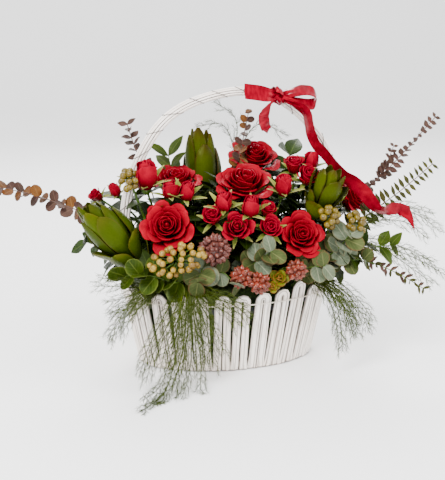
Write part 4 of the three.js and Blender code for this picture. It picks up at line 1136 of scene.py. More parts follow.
# %% Where the roses stand
ROSES = [
    (V(-94, -62, 197), facing(-18, 30), 36),
    (V(-66, 12, 242), facing(-15, 66), 35),
    (V(15, -37, 243), facing(-5, 61), 40),
    (V(46, 22, 268), facing(2, 60), 38),
    (V(74, -94, 183), facing(-5, 28), 32),
    (V(162, -46, 219), facing(48, 35), 29),
    (V(-50, 74, 194), facing(196, 38), 35),
]
FOAM_TOP, STEM_DEEP = 121, 55


def into_foam(point, pull=0.55):
    """Where a stem enters the foam, and how it goes on below."""
    return [V(point[0] * pull, point[1] * pull, FOAM_TOP - 10),
            V(point[0] * pull * 0.8, point[1] * pull * 0.8, FOAM_TOP - STEM_DEEP)]


print(len(ROSES), "large roses")

# %% Roses, cups and stems
ROSE_PETALS, ROSE_DETAIL, SEPALS = 28, (8, 9), 5
ROSE_CUP = [(0, -0.12), (0.12, -0.1), (0.2, 0.0), (0.16, 0.1), (0, 0.12)]


for number, (at, face, radius) in enumerate(ROSES, 1):
    random = seeded(400 + number)
    flower = Bunch()
    place = standing(at, face)
    bloom(flower, place, radius, ROSE_PETALS, 1.0, random, ROSE_DETAIL)
    flower.piece(f"rose_{number}_petals", [ROSE], "red_petal", f"rose_{number}")
    neck = at - 0.5 * radius * face
    below = neck - 14 * face + V(0, 0, -6)
    stalk = Bunch()
    stalk.add(tapered([neck, below, *into_foam(below)], 3.0, 2.6, 8, 16), look=1)
    stalk.add(lathe(ROSE_CUP, radius, 10, 6), (neck, place[1]), look=1)
    sepal = leaf(0.8 * radius, 9, curl=-0.3, fold=0.25, wave=0.8, across=4, along=8)
    for i in range(SEPALS):
        turn = i * 2 * math.pi / SEPALS
        ahead = V(math.cos(turn), math.sin(turn), 0.12) @ place[1]
        stalk.add(sepal, lying(neck + 1.2 * unit(ahead), ahead, face), tint=random())
    stalk.piece(f"rose_{number}_calyx_and_stem", [SEPAL, STEM], "green_stem", f"rose_{number}_stem")

# %% [markdown]
# ## Spray roses
# Several small flowers share one branching stem. Some are half open, some are still buds, and pale pointed
# sepals stand out under each. Small copies of the large rose would be quick, but a bud is rounder and its
# petals wrap right over the heart. So buds have petals of their own, and only open flowers use the bloom.

# %% A petal of a bud
BUD_INNER = [(0.03, -0.45), (0.12, -0.30), (0.17, -0.02), (0.13, 0.36), (0.02, 0.62)]
BUD_OUTER = [(0.06, -0.45), (0.27, -0.31), (0.36, -0.05), (0.31, 0.25), (0.21, 0.47)]
BUD_PEEL = 0.16


def bud_petal(size, turn, layer, random):
    """Petal of a bud: layer is 0 for the heart and 1 for the outermost, which peels back a little."""
    line = between(BUD_INNER, BUD_OUTER, layer)
    span = lerp(1.7, 1.25, layer)
    peel = BUD_PEEL * layer**2 * random()

    def surface(u, v):
        aside = 2 * u - 1
        edge = line.at(v * (1 - 0.2 * aside**4))
        angle = turn + aside * span * (0.6 + 0.4 * np.sin(math.pi * np.minimum(v, 0.7)))
        reach = edge[:, 0] * (1 + 0.13 * aside) + peel * np.clip((v - 0.7) / 0.3, 0, 1) ** 2
        return size * np.stack([reach * np.cos(angle), reach * np.sin(angle), edge[:, 2]], axis=1)

    return sheet(surface, 7, 8, SMALL_PETAL_HALF)


# %% A bud or small flower
STILL_BUD, BUD_PETALS, BUD_TURN, BUD_SIZE = 0.18, 9, 2.25, 1.488
SMALL_PETALS, SMALL_DETAIL, SMALL_SIZE = 16, (6, 7), 1.32
BUD_HEART = [(0, -0.45), (0.2, -0.3), (0.2, 0), (0.1, 0.3), (0, 0.45)]
SMALL_CUP = [(0, -0.14), (0.1, -0.12), (0.17, 0), (0.12, 0.1), (0, 0.12)]


def small_rose(bunch, place, direction, radius, open_share, random):
    """A bud or small flower with its green cup and sepals; looks are petals, sepals and stem."""
    spot = standing(place, direction, 6 * random())
    if open_share < STILL_BUD:
        size = BUD_SIZE * radius / (0.35 + 0.65 * open_share)
        for i in range(BUD_PETALS):
            bunch.add(bud_petal(size, i * BUD_TURN, i / (BUD_PETALS - 1), random), spot,
                      tint=0.5 * random())
        # The bud's heart is tinted dark: painted shade inside the bud.
        bunch.add(lathe(BUD_HEART, size, 8, 6), spot, tint=0.9)
        low, splay, reach = -0.47, 0.72, 0.95
    else:
        opened = max(open_share, 0.5)
        size = radius / (0.15 + 0.83 * opened) * SMALL_SIZE
        bloom(bunch, spot, size, SMALL_PETALS, opened, random, SMALL_DETAIL)
        low, splay, reach = -0.46, 1.0, 0.85
    bunch.add(lathe(SMALL_CUP, size, 8, 5), (place + low * size * direction, spot[1]), look=2)
    sepal = leaf(reach * size, 0.22 * size, curl=0.2, fold=0.3)
    for i in range(SEPALS):
        turn = (i + 0.3 * random()) * 2 * math.pi / SEPALS
        outward = V(math.cos(turn) * splay, math.sin(turn) * splay, 1.0 - 0.55 * splay) @ spot[1]
        base = place + low * size * direction + 0.12 * size * unit(outward)
        bunch.add(sepal, lying(base, outward, direction - 0.3 * outward), tint=random(), look=1)


# %% Where the small flowers stand
SPRAYS = {
    "spray_rose_left": (V(-92, -18, 187), [
        (V(-114, -22, 256), facing(-20, 72), 9.5, 0),
        (V(-85, -36, 240), facing(-10, 66), 8, 0.1),
        (V(-64, -41, 237), facing(10, 55), 9, 0.15),
    ]),
    "spray_rose_far_left": (V(-112, 14, 187), [
        (V(-172, 19, 227), facing(-70, 42), 8, 0.2),
        (V(-148, 17, 233), facing(-50, 55), 5, 0),
    ]),
    "spray_rose_middle": (V(-12, -56, 167), [
        (V(-38, -74, 210), facing(-28, 45), 11, 0.25),
        (V(-24, -76, 228), facing(-16, 62), 7, 0),
        (V(-10, -88, 197), facing(-12, 30), 16.5, 0.75),
        (V(8, -86, 222), facing(0, 60), 7.5, 0),
    ]),
    "spray_rose_right": (V(40, -52, 171), [
        (V(34, -79, 216), facing(5, 55), 9, 0.2),
        (V(32, -95, 196), facing(-6, 30), 12, 0.55),
        (V(60, -65, 243), facing(8, 68), 9, 0.15),
    ]),
    "spray_rose_top": (V(84, -22, 201), [
        (V(84, -36, 265), facing(-12, 68), 11, 0.28),
        (V(96, -56, 253), facing(8, 48), 13, 0.6),
        (V(106, -42, 270), facing(30, 72), 6, 0),
    ]),
}
print(sum(len(heads) for fork, heads in SPRAYS.values()), "small flowers")

# %% Branching stems
for number, (name, (fork, heads)) in enumerate(SPRAYS.items()):
    random = seeded(500 + number)
    spray = Bunch()
    spray.add(tapered([fork, *into_foam(fork, 0.62)], 2.0, 1.8, 7, 10), look=2)
    for place, direction, radius, open_share in heads:
        deep = radius / (0.35 + 0.65 * open_share) * 0.45
        neck = place - deep * direction
        below = lerp(neck - 10 * direction, fork, 0.25)
        spray.add(tapered([neck, below, fork], 1.4, 1.6, 6, 10), look=2)
        small_rose(spray, place, direction, radius, open_share, random)
    spray.piece(name + "_flowers", [SPRAY, SEPAL, STEM], "red_petal", name)

# %% [markdown]
# ## Leucadendron
# The big green heads are cones of leathery bracts that overlap like the leaves of a tulip, dark at the
# foot, yellow-green higher up and bronze at the tips. A carved cone would keep the outline, but not the
# dark slits between the bracts. So each bract is a thick blade with a blunt tip, set a golden angle on
# from the last. The outer ones sit lower and open more, and a few loose ones stand at the foot.

# %% One bract
BRACT_HALF, BRACT_TIP = 0.6, 0.62


def bract(length, radius, way, turn, spread, close, random):
    """Bract of a head that stands along +Z: way is 0 for the lowest and outermost, 1 for the
    inmost. Spread opens it outward, and close bends its tip back over the heart."""
    low = length * lerp(-0.02, 0.2, way)
    high = length * lerp(0.72, 1.0, way**0.7) * (0.93 + 0.12 * random())
    wrap = radius * lerp(1.0, 0.5, way)
    span = lerp(0.62, 0.85, way) * (0.9 + 0.2 * random())
    splay = spread * (1 - way) ** 1.5 * (0.6 + 0.9 * random())
    bend = 0.1 * (random() - 0.5)

    def surface(u, v):
        v = np.clip(v, 0, 1)
        aside = 2 * u - 1
        tip = np.sqrt(1 - np.clip((v - BRACT_TIP) / 0.385, 0, 0.99) ** 2)
        outline = (0.5 + 0.5 * np.sin(math.pi * np.minimum(v * 0.9 + 0.05, 0.5))) * tip
        angle = turn + aside * span * outline + bend * v
        keel = 0.05 * (1 - np.abs(aside)) - 0.03 * aside**2
        reach = wrap * (0.3 + 0.7 * np.sin(math.pi * (0.08 + close * v))) + radius * keel
        reach = reach + length * splay * v**1.6
        rise = low + (high - low) * v * (1 - 0.25 * splay * v)
        return np.stack([reach * np.cos(angle), reach * np.sin(angle), rise], axis=1)

    return sheet(surface, 6, 12, BRACT_HALF)


# %% Heads of bracts
# Foot, tip, radius, how far the outer bracts open, seed, colour, bracts and how far they close
HEADS = {
    "leucadendron_centre": (V(-19, 56, 199), V(-21, 62, 309), 27, 0.0, 31, "centre", 10, 0.7),
    "leucadendron_left": (V(-136, -38, 155), V(-197, -38, 229), 26, 0.05, 32, "left", 13, 0.7),
    "leucadendron_right": (V(102, -74, 212), V(124, -85, 268), 21, 0.12, 33, "right", 9, 0.62),
    "leucadendron_back": (V(58, 66, 178), V(76, 100, 252), 25, 0.1, 34, "centre", 15, 0.7),
}
LOOSE_BRACTS, LOOSE_SIZE, LOOSE_STEP = 6, 0.7, 0.05
for name, (base, tip, radius, spread, seed, colour, count, close) in HEADS.items():
    random = seeded(seed)
    head = Bunch()
    axis, length = unit(tip - base), float(np.linalg.norm(tip - base))
    place = standing(base, axis)
    # The core is tinted to the darkest bract colour: painted shade in the slits between the bracts.
    head.add(tube(Path([base + 0.02 * length * axis, base + 0.8 * length * axis]),
                  lambda v, a: radius * (0.12 + 0.34 * np.sin(math.pi * np.clip(v, 0.05, 0.97))), 8, 8),
             tint=1.0)
    for i in range(count):
        way = i / (count - 1)
        head.add(bract(length, radius, way, i * GOLDEN, spread, close, random), place, tint=random())
    if spread:
        for i in range(LOOSE_BRACTS):
            lower = standing(base - (LOOSE_STEP + LOOSE_STEP * i) * length * axis, axis)
            loose = bract(LOOSE_SIZE * length, LOOSE_SIZE * radius, 0.1, i * GOLDEN + 0.8, 0.32, 0.6,
                          random)
            head.add(loose, lower, tint=random())
    below = base - 12 * axis
    head.add(tapered([base + 6 * axis, below, *into_foam(below, 0.6)], 3.2, 2.8, 8, 14), look=1)
    head.piece(name + "_bracts", [BRACTS[colour], STEM], "green_bract", name)

# %% [markdown]
# ## Berries
# Berries sit on a short branching head, each a slightly long ball with a dark eye at its end, with dark
# gaps between them. A particle system could scatter balls over a head, but leaves their places to chance.
# Here one ball is turned on the lathe and set out by the golden angle with a little shake, which spreads
# the berries evenly with no rows. Each has a twig of its own towards the middle of the head.

# %% One berry and the heads
BERRY = lathe([(0, -1.02), (0.7, -0.8), (1.0, 0.0), (0.76, 0.74), (0.3, 0.99), (0.16, 1.08), (0, 0.98)],
              1.0, 10, 11)
# For each head: its middle, the way it faces, half sizes and berries; then fork, colour and berry radius
BERRIES = {
    "berries_left": ([(V(-90, -99, 163), facing(-15, 12), (34, 17, 11), 40)], V(-70, -70, 141),
                     CREAM_BERRY, 4.2),
    "berries_left_top": ([(V(-135, -24, 253), facing(-35, 45), (11, 14, 11), 13)], V(-120, -22, 213),
                         GOLD_BERRY, 4.6),
    "berries_right": ([(V(107, -106, 209), facing(10, 25), (12, 12, 8), 12),
                       (V(145, -103, 198), facing(30, 20), (15, 12, 8), 14)], V(118, -80, 169),
                      GOLD_BERRY, 4.7),
}
print("a berry has", len(BERRY.sizes), "faces")

# %% Berries on their twigs
HEAD_COVERED, BERRY_SHAKE = 1.25, 0.5
for number, (name, (heads, fork, colour, size)) in enumerate(BERRIES.items()):
    random = seeded(600 + number)
    cluster = Bunch()
    cluster.add(tapered([fork, *into_foam(fork, 0.7)], 1.7, 1.7, 6, 10), look=1)
    for centre, direction, half, count in heads:
        place = standing(centre, direction)
        cluster.add(tapered([centre - 0.5 * half[2] * direction, fork], 1.5, 1.7, 6, 4), look=1)
        for i in range(count):
            height = 1 - HEAD_COVERED * (i + 0.5) / count
            ring = math.sqrt(1 - height**2)
            turn = i * GOLDEN + BERRY_SHAKE * (random() - 0.5)
            spot = V(ring * math.cos(turn) * half[0], ring * math.sin(turn) * half[1], height * half[2])
            outward = unit(spot / V(*half) + 0.5 * V(random() - 0.5, random() - 0.5, 0.6)) @ place[1]
            at = centre + (spot * (0.92 + 0.14 * random())) @ place[1]
            cluster.add(BERRY, standing(at, outward, 6 * random(), size * (0.84 + 0.24 * random())),
                        tint=random())
            cluster.add(tapered([at - outward * size * 0.8, lerp(at, centre, 0.75)], 0.6, 0.8, 5, 2),
                        look=1)
    cluster.piece(name + "_fruits", [colour, STEM], "cream_berry", name)

# %% [markdown]
# ## Sedum
# Sedum heads are tight cushions of small pointed fleshy buds, and the front one has two yellow-green
# rosettes beside it. A bumpy ball would look like a fruit, so the buds are real: one is turned on the
# lathe and set out over the ball by the golden angle. A rosette is a spiral of thick round leaves that
# lie flat outside and stand up at the heart.

# %% One bud and the cushions
BUD = lathe([(0, -0.9), (0.8, -0.6), (1.0, 0.1), (0.62, 0.9), (0.22, 1.35), (0, 1.5)], 1.0, 7, 8)
SEDUMS = {
    "sedum_left": ([(V(-41, -96, 173), facing(-20, 40), 19)], V(-34, -72, 151), PINK_BUD),
    "sedum_front": ([(V(-10, -112, 139), facing(-5, 30), 12), (V(12, -117, 131), facing(0, 20), 12)],
                    V(4, -86, 139), CORAL_BUD),
    "sedum_right": ([(V(59, -123, 146), facing(10, 30), 11)], V(52, -90, 141), CORAL_BUD),
}
ROSETTES = {
    "sedum_front": [(V(38, -118, 136), facing(-5, 35), 15), (V(28, -120, 126), facing(-10, 20), 11)],
}
BUD_SHAKE, CUSHION_COVERED, ROSETTE_LEAVES, ROSETTE_HALF = 0.45, 1.8, 12, 0.6


def rosette_leaf(i, radius, place):
    """One leaf of a rosette with its place; i is 0 for the outermost."""
    way = i / (ROSETTE_LEAVES - 1)
    rise = lerp(0.15, 1.5, way)
    ahead = V(math.cos(i * GOLDEN) * math.cos(rise), math.sin(i * GOLDEN) * math.cos(rise), math.sin(rise))
    inward = V(-math.cos(i * GOLDEN) * math.sin(rise), -math.sin(i * GOLDEN) * math.sin(rise),
               math.cos(rise))
    blade = leaf(lerp(1.0, 0.5, way) * radius, lerp(0.95, 0.5, way) * radius, disc=True, curl=-0.1,
                 half=ROSETTE_HALF)
    return blade, lying(place[0], ahead @ place[1], inward @ place[1])


print("a bud has", len(BUD.sizes), "faces")

# %% Sedum heads
for number, (name, (heads, fork, colour)) in enumerate(SEDUMS.items()):
    random = seeded(700 + number)
    cushion = Bunch()
    cushion.add(tapered([fork, *into_foam(fork, 0.7)], 1.8, 1.8, 6, 10), look=1)
    for centre, direction, radius in heads:
        place = standing(centre, direction)
        middle = lerp(centre, fork, 0.5) + V(0, 0, -2)
        cushion.add(tapered([centre, middle, fork], 1.7, 1.9, 6, 6), look=1)
        cushion.add(lathe([(0, -1), (0.75, -0.65), (1, 0), (0.75, 0.65), (0, 1)], radius * 0.78, 8, 8),
                    place, tint=1.0)
        count = int(0.16 * radius**2) + 16
        for i in range(count):
            height = 1 - CUSHION_COVERED * (i + 0.5) / count
            ring = math.sqrt(1 - height**2)
            outward = V(ring * math.cos(i * GOLDEN), ring * math.sin(i * GOLDEN), height)
            outward = unit(outward + BUD_SHAKE * V(random() - 0.5, random() - 0.5, random() - 0.5))
            at = centre + (outward * radius * (0.78 + 0.12 * random())) @ place[1]
            cushion.add(BUD, standing(at, outward @ place[1], 6 * random(), 3.1 + 0.9 * random()),
                        tint=random())
    for spot, direction, radius in ROSETTES.get(name, []):
        place = standing(spot, direction)
        middle = spot - 0.3 * radius * direction
        cushion.add(tapered([middle, lerp(middle, fork, 0.6), fork], 1.4, 1.8, 6, 6), look=1)
        for i in range(ROSETTE_LEAVES):
            cushion.add(*rosette_leaf(i, radius, (middle, place[1])), tint=random(), look=2)
    cushion.piece(name + "_buds", [colour, STEM, ROSETTE_LEAF], "sedum_bud", name)

# %% [markdown]
# ## Leafy stems
# Eucalyptus, glossy leaves and small sprigs all grow the same way: pairs of leaves along a stem, each
# pair turned from the last. Leaves could be set by hand where the photograph shows them, but each plant
# would be a long list. So one function walks along the stem's curve and lays a ready leaf at each place.
# Round, pointed and narrow leaves, their tilt and their colours make the difference between the plants.

# %% One leafy stem
LEAF_BENDS = ((0.6, 1.0), (1.2, -0.8), (1.8, 0.4))
TURN_SHAKE, LIFT_SHAKE, FACE_SHAKE = 24, 14, 0.5
SIDE_FIRST, SIDE_SMALLER, SIDE_PAIRS = 0.1, 0.8, 3


def leafy_stem(name, slot, colour, path, size, seed, pairs, first=0.25, last=0.97, shrink=0.6, lift=40,
               turn=90, start=0, radius=1.3, disc=False, curl=0.1, fold=0.1, look=None, wave=0.5,
               stem=None, also=None, side_branch=None):
    """A stem with pairs of leaves that look along it. Half of the leaves take the colour also, and a
    side branch repeats the stem smaller along a path of its own."""
    random, extra = seeded(seed), seeded(seed + 1000)
    line = Path(path)
    leaves = [leaf(*size, disc=disc, curl=curl * bend, fold=fold, wave=wave * sway)
              for bend, sway in LEAF_BENDS]
    sprig = Bunch()
    walks = [(line, pairs, first, 1.0)]
    if side_branch:
        walks.append((Path(side_branch), max(pairs // 3, SIDE_PAIRS), SIDE_FIRST, SIDE_SMALLER))
    for line, count, begin, smaller in walks:
        sprig.add(tube(line, lambda v, a: lerp(radius, radius * 0.45, v) * smaller, 6, 28), look=1)
    for line, count, begin, smaller in walks:
        for i in range(count):
            way = lerp(begin, last, i / (count - 1))
            tangent = line.tangent(way)
            across = unit(np.cross(tangent, V(0, 1, 0) if abs(tangent[2]) > 0.9 else UP))
            around = math.radians(start + turn * i + TURN_SHAKE * (random() - 0.5))
            across = turned_about(across, tangent, around)
            rise = math.radians(lift + LIFT_SHAKE * (random() - 0.5))
            scale = smaller * lerp(1, shrink, i / (count - 1)) * (0.9 + 0.2 * random())
            for hand in (1, -1):
                ahead = across * hand * math.cos(rise) + tangent * math.sin(rise)
                normal = tangent - across * hand * math.tan(rise) * 0.5
                if look is not None:
                    normal = look + 0.35 * tangent
                normal = normal + FACE_SHAKE * V(extra() - 0.5, extra() - 0.5, extra() - 0.5)
                sprig.add(leaves[int(3 * extra())], lying(line.at(way), ahead, normal, scale),
                          tint=extra(), look=2 if also and extra() < 0.5 else 0)
    sprig.piece(name + "_foliage", [colour, stem or STEM, also or colour], slot, name)


DISC = dict(disc=True, lift=22, curl=0.05, fold=0.08)
VIEWED = dict(DISC, look=facing(-15, 28), turn=66)
BEHIND = dict(DISC, look=facing(180, 28), turn=66)
GLOSSY = dict(lift=35, curl=0.18, fold=0.16, turn=75, wave=1.0)
print("two habits of growth: flat and round, or glossy and wavy")

# %% [markdown]
# Silver-dollar eucalyptus has flat round leaves that turn their faces to the light, some silver and some
# green with a reddish edge. Each stem is given the points it runs through, the size of its leaves, a seed
# and the number of pairs, and the share of its length where the first and last pair sit.

# %% Silver and round leaves
leafy_stem("silver_leaves_front", "silver_leaf", SILVER_LEAF,
           [V(8, -46, 101), V(10, -66, 138), V(12, -96, 152), V(30, -112, 170)],
           (24, 23), 71, 8, 0.45, 0.98, 0.9, also=MUTED_LEAF, **VIEWED)
leafy_stem("silver_leaves_left", "silver_leaf", SILVER_LEAF,
           [V(-40, -44, 101), V(-46, -64, 133), V(-56, -92, 148), V(-66, -108, 134)],
           (27, 26), 72, 5, 0.5, 0.98, 0.95, also=MUTED_LEAF,
           side_branch=[V(-44, -66, 124), V(-30, -98, 142), V(-18, -112, 128)], **VIEWED)
leafy_stem("silver_leaves_right", "silver_leaf", SILVER_LEAF,
           [V(86, -48, 101), V(100, -76, 140), V(120, -100, 162), V(134, -116, 188)],
           (26, 25), 73, 9, 0.42, 0.98, 0.9, also=MUTED_LEAF,
           side_branch=[V(112, -90, 146), V(136, -108, 150), V(156, -112, 152)], **VIEWED)
leafy_stem("silver_leaves_low", "silver_leaf", SILVER_LEAF,
           [V(56, -46, 99), V(66, -74, 128), V(78, -102, 142), V(96, -126, 150)],
           (24, 23), 74, 5, 0.55, 0.98, 0.9, start=30, also=MUTED_LEAF, **VIEWED)
leafy_stem("silver_leaves_back", "silver_leaf", SILVER_LEAF,
           [V(-6, 40, 101), V(-4, 66, 142), V(2, 92, 166), V(6, 112, 180)],
           (28, 27), 75, 6, 0.5, 0.98, 0.9, also=MUTED_LEAF, **BEHIND)
leafy_stem("silver_leaves_back_left", "silver_leaf", SILVER_LEAF,
           [V(-70, 34, 99), V(-84, 54, 128), V(-98, 78, 138), V(-110, 96, 130)],
           (28, 27), 77, 6, 0.42, 0.98, 0.9, also=MUTED_LEAF, **BEHIND)
leafy_stem("round_leaves_left", "green_leaf", ROUND_LEAF,
           [V(-52, -38, 101), V(-66, -62, 125), V(-90, -84, 130), V(-120, -80, 140), V(-150, -58, 136)],
           (27, 26), 76, 9, 0.38, 0.99, 0.9, start=40, **dict(VIEWED, look=facing(-28, 26)))

# %% [markdown]
# The dark leaves are glossy, pointed and a little wavy, and the olive sprig beside the middle head has the
# same form in a lighter green. They use the same function with a fold and a curl in place of the disc.

# %% Dark and olive leaves
leafy_stem("dark_leaves_left", "dark_leaf", DARK_LEAF,
           [V(-66, 10, 101), V(-104, 12, 149), V(-156, 10, 165), V(-190, 4, 169)],
           (38, 20), 81, 4, 0.6, 0.99, 0.95, look=facing(-30, 40), **GLOSSY)
leafy_stem("dark_leaves_right", "dark_leaf", DARK_LEAF,
           [V(96, -38, 101), V(122, -64, 141), V(158, -92, 161), V(196, -108, 167)],
           (32, 18), 82, 5, 0.6, 0.98, 0.8, look=facing(-10, 45), also=ROUND_LEAF, **GLOSSY)
leafy_stem("dark_leaves_top", "dark_leaf", DARK_LEAF,
           [V(70, -2, 101), V(80, -2, 181), V(88, 4, 253), V(90, 2, 277)],
           (44, 26), 83, 4, 0.66, 0.98, 0.9, look=facing(-15, 30), **GLOSSY)
leafy_stem("dark_leaves_back", "dark_leaf", DARK_LEAF,
           [V(-66, 26, 101), V(-92, 46, 150), V(-104, 66, 182), V(-110, 88, 204)],
           (42, 24), 84, 5, 0.5, 0.98, 0.8, **GLOSSY)
leafy_stem("dark_leaves_back_right", "dark_leaf", DARK_LEAF,
           [V(60, 30, 99), V(84, 56, 130), V(112, 78, 142), V(140, 88, 136)],
           (40, 24), 86, 5, 0.42, 0.98, 0.85, **GLOSSY)
leafy_stem("olive_sprig", "green_leaf", OLIVE_LEAF,
           [V(-40, 24, 101), V(-58, 38, 181), V(-66, 40, 249), V(-70, 42, 275)],
           (40, 16), 85, 4, 0.74, 0.99, 0.85, turn=60, look=facing(-15, 35))

# %% [markdown]
# The brown and purple sprigs reach far out of the basket. Their leaves get smaller towards the tip, so
# each has many pairs and a stronger shrink, on a woody stem. The lower right ones are narrow grey-green.

# %% Brown and narrow sprigs
leafy_stem("brown_sprig_left", "brown_leaf", BROWN_LEAF,
           [V(-78, 26, 101), V(-108, 24, 155), V(-170, 6, 197), V(-236, 22, 225), V(-292, 36, 241)],
           (21, 19), 91, 15, 0.4, 0.995, 0.75, stem=WOODY, also=RUSSET_LEAF,
           **dict(VIEWED, lift=30, turn=80))
leafy_stem("brown_sprig_upper_left", "brown_leaf", BROWN_LEAF,
           [V(-58, 30, 101), V(-86, 30, 191), V(-104, 26, 253), V(-119, 28, 291), V(-128, 30, 321)],
           (21, 14), 92, 11, 0.6, 0.99, 0.6, lift=25, turn=70, stem=WOODY, look=facing(-15, 40))
leafy_stem("brown_sprig_centre", "brown_leaf", RUSSET_LEAF,
           [V(10, 24, 101), V(14, 16, 191), V(18, 10, 257), V(26, 8, 299), V(32, 4, 334)],
           (15, 14), 93, 10, 0.6, 0.99, 0.7, start=20, stem=WOODY, also=BROWN_LEAF,
           **dict(VIEWED, lift=25))
leafy_stem("brown_sprig_right_upper", "brown_leaf", BROWN_LEAF,
           [V(88, 10, 101), V(128, -6, 149), V(152, -14, 181), V(187, -22, 219), V(228, -48, 272),
            V(273, -62, 328)],
           (15, 10.5), 94, 19, 0.5, 0.995, 0.58, lift=28, turn=160, start=75, stem=WOODY,
           look=facing(-15, 28), wave=0.3,
           side_branch=[V(207, -35, 246), V(214, -40, 262), V(222, -44, 288)])
leafy_stem("brown_sprig_right_lower", "brown_leaf", GREY_LEAF,
           [V(92, -14, 101), V(126, -34, 151), V(176, -62, 197), V(222, -74, 233), V(262, -82, 268)],
           (22, 8.5), 95, 18, 0.45, 0.995, 0.5, lift=14, turn=180, start=90, stem=WOODY,
           look=facing(-15, 13))
leafy_stem("thin_sprig_right", "silver_leaf", GREY_LEAF,
           [V(80, -44, 99), V(116, -80, 133), V(156, -104, 147), V(200, -118, 131), V(236, -125, 109)],
           (15, 5.5), 96, 14, 0.52, 0.99, 0.7, lift=35, turn=50, look=facing(-15, 30), also=BROWN_LEAF)

# %% [markdown]
# ## Asparagus fern
# A strand of asparagus fern carries short side branches, and each of those is set with needles finer than
# a pin. Hair curves would draw them easily, but they leave no mesh. So each needle is a three-sided cone
# with few faces, because it is repeated thousands of times, and the needles go in pairs that lie close
# along a thin branch.

# %% One needle
NEEDLE_FOOT, NEEDLE_TIP = 0.34, 0.1


def needle_form():
    """A three-sided cone along +Z, from the cone operator."""
    mesh = bmesh.new()
    bmesh.ops.create_cone(mesh, cap_ends=True, segments=3, radius1=NEEDLE_FOOT, radius2=NEEDLE_TIP,
                          depth=1.0)
    bmesh.ops.translate(mesh, verts=mesh.verts[:], vec=(0, 0, 0.5))
    mesh.verts.index_update()
    points = np.array([corner.co[:] for corner in mesh.verts])
    mould = Mould(mesh, points[:, 0] + 0.5, points[:, 2], np.zeros(len(points)), False)
    mesh.free()
    return Form(mould, points)


NEEDLE_FORM = needle_form()
print("a needle has", len(NEEDLE_FORM.sizes), "faces")

# %% Where the strands hang
# For each fern: its root, the points of its strands, a seed and the length of a side branch
FERNS = {
    "fern_left_front": (V(-72, -66, 131), [
        [V(-88, -108, 109), V(-98, -124, 51), V(-118, -146, 8), V(-156, -184, 2)],
        [V(-98, -106, 101), V(-122, -116, 53), V(-134, -126, 15)],
        [V(-76, -110, 101), V(-78, -120, 57), V(-84, -132, 12), V(-98, -158, 2)],
        [V(-66, -112, 101), V(-52, -118, 57), V(-48, -122, 27)],
        [V(-54, -110, 118), V(-26, -119, 107), V(-2, -122, 86)],
    ], 21, 30),
    "fern_left": (V(-98, -50, 123), [
        [V(-134, -82, 109), V(-172, -72, 85)],
        [V(-140, -70, 125), V(-188, -50, 121)],
        [V(-130, -84, 118), V(-158, -96, 90), V(-176, -92, 60)],
    ], 22, 28),
    "fern_right_front": (V(84, -58, 125), [
        [V(108, -108, 111), V(122, -124, 67), V(126, -126, 33)],
        [V(122, -100, 119), V(148, -118, 83), V(166, -110, 49)],
        [V(104, -106, 121), V(128, -120, 98), V(146, -124, 64)],
    ], 23, 28),
    "fern_right": (V(116, -58, 149), [
        [V(166, -90, 169), V(222, -112, 149), V(268, -118, 121)],
        [V(176, -74, 197), V(232, -86, 203), V(270, -98, 177)],
    ], 24, 28),
    "fern_top": (V(22, 52, 181), [
        [V(26, 60, 281), V(4, 54, 318), V(-30, 46, 314)],
        [V(40, 62, 281), V(64, 54, 313), V(104, 46, 296)],
        [V(30, 60, 291), V(22, 50, 334), V(-6, 44, 345)],
    ], 25, 26),
}
SPARSE = {"fern_top"}
print(sum(len(strands) for root, strands, seed, length in FERNS.values()), "main strands")

# %% Needles along a branch
PAIR_STEP, PAIR_TURN, FORWARD = 1.7, 2.6, 1.5
NEEDLE_LENGTH, NEEDLE_WIDTH, FLOOR_GAP = 7.5, 0.8, 0.8


def needles_along(bunch, line, first, random, length):
    """Pairs of needles that lie close along a stem."""
    count = max(int(line.length * (1 - first) / PAIR_STEP), 2)
    ways = lerp(first, 0.99, np.linspace(0, 1, count))
    points, normals, binormals = line.frame(ways)
    tangents = line.tangent(ways)
    for point, normal, binormal, tangent in zip(points, normals, binormals, tangents):
        spin = 6.3 * random()
        for k in (0, 1):
            angle = spin + k * PAIR_TURN
            ahead = unit(tangent * FORWARD + normal * math.cos(angle) + binormal * math.sin(angle))
            reach = length * (0.6 + 0.6 * random())
            low = (FLOOR_GAP - point[2]) / reach
            if ahead[2] < low:
                level = unit(V(ahead[0], ahead[1] - 0.01, 0))
                ahead = level * math.sqrt(1 - low**2) + V(0, 0, low)
            origin, axes = standing(point, ahead, angle)
            bunch.add(NEEDLE_FORM, (origin, axes * V(NEEDLE_WIDTH, NEEDLE_WIDTH, reach)[:, None]),
                      tint=random())


def floored(points):
    """Smooth line that never dips into the floor."""
    line = Path(points)
    line.points[:, 2] = np.maximum(line.points[:, 2], FLOOR_GAP + 0.5)
    return line


print("needles stay", FLOOR_GAP, "mm above the floor")

# %% Fronds
BRANCH_STEP, BRANCH_RADIUS, STRAND_THICK, STRAND_THIN = 5.0, 0.22, 0.9, 0.25
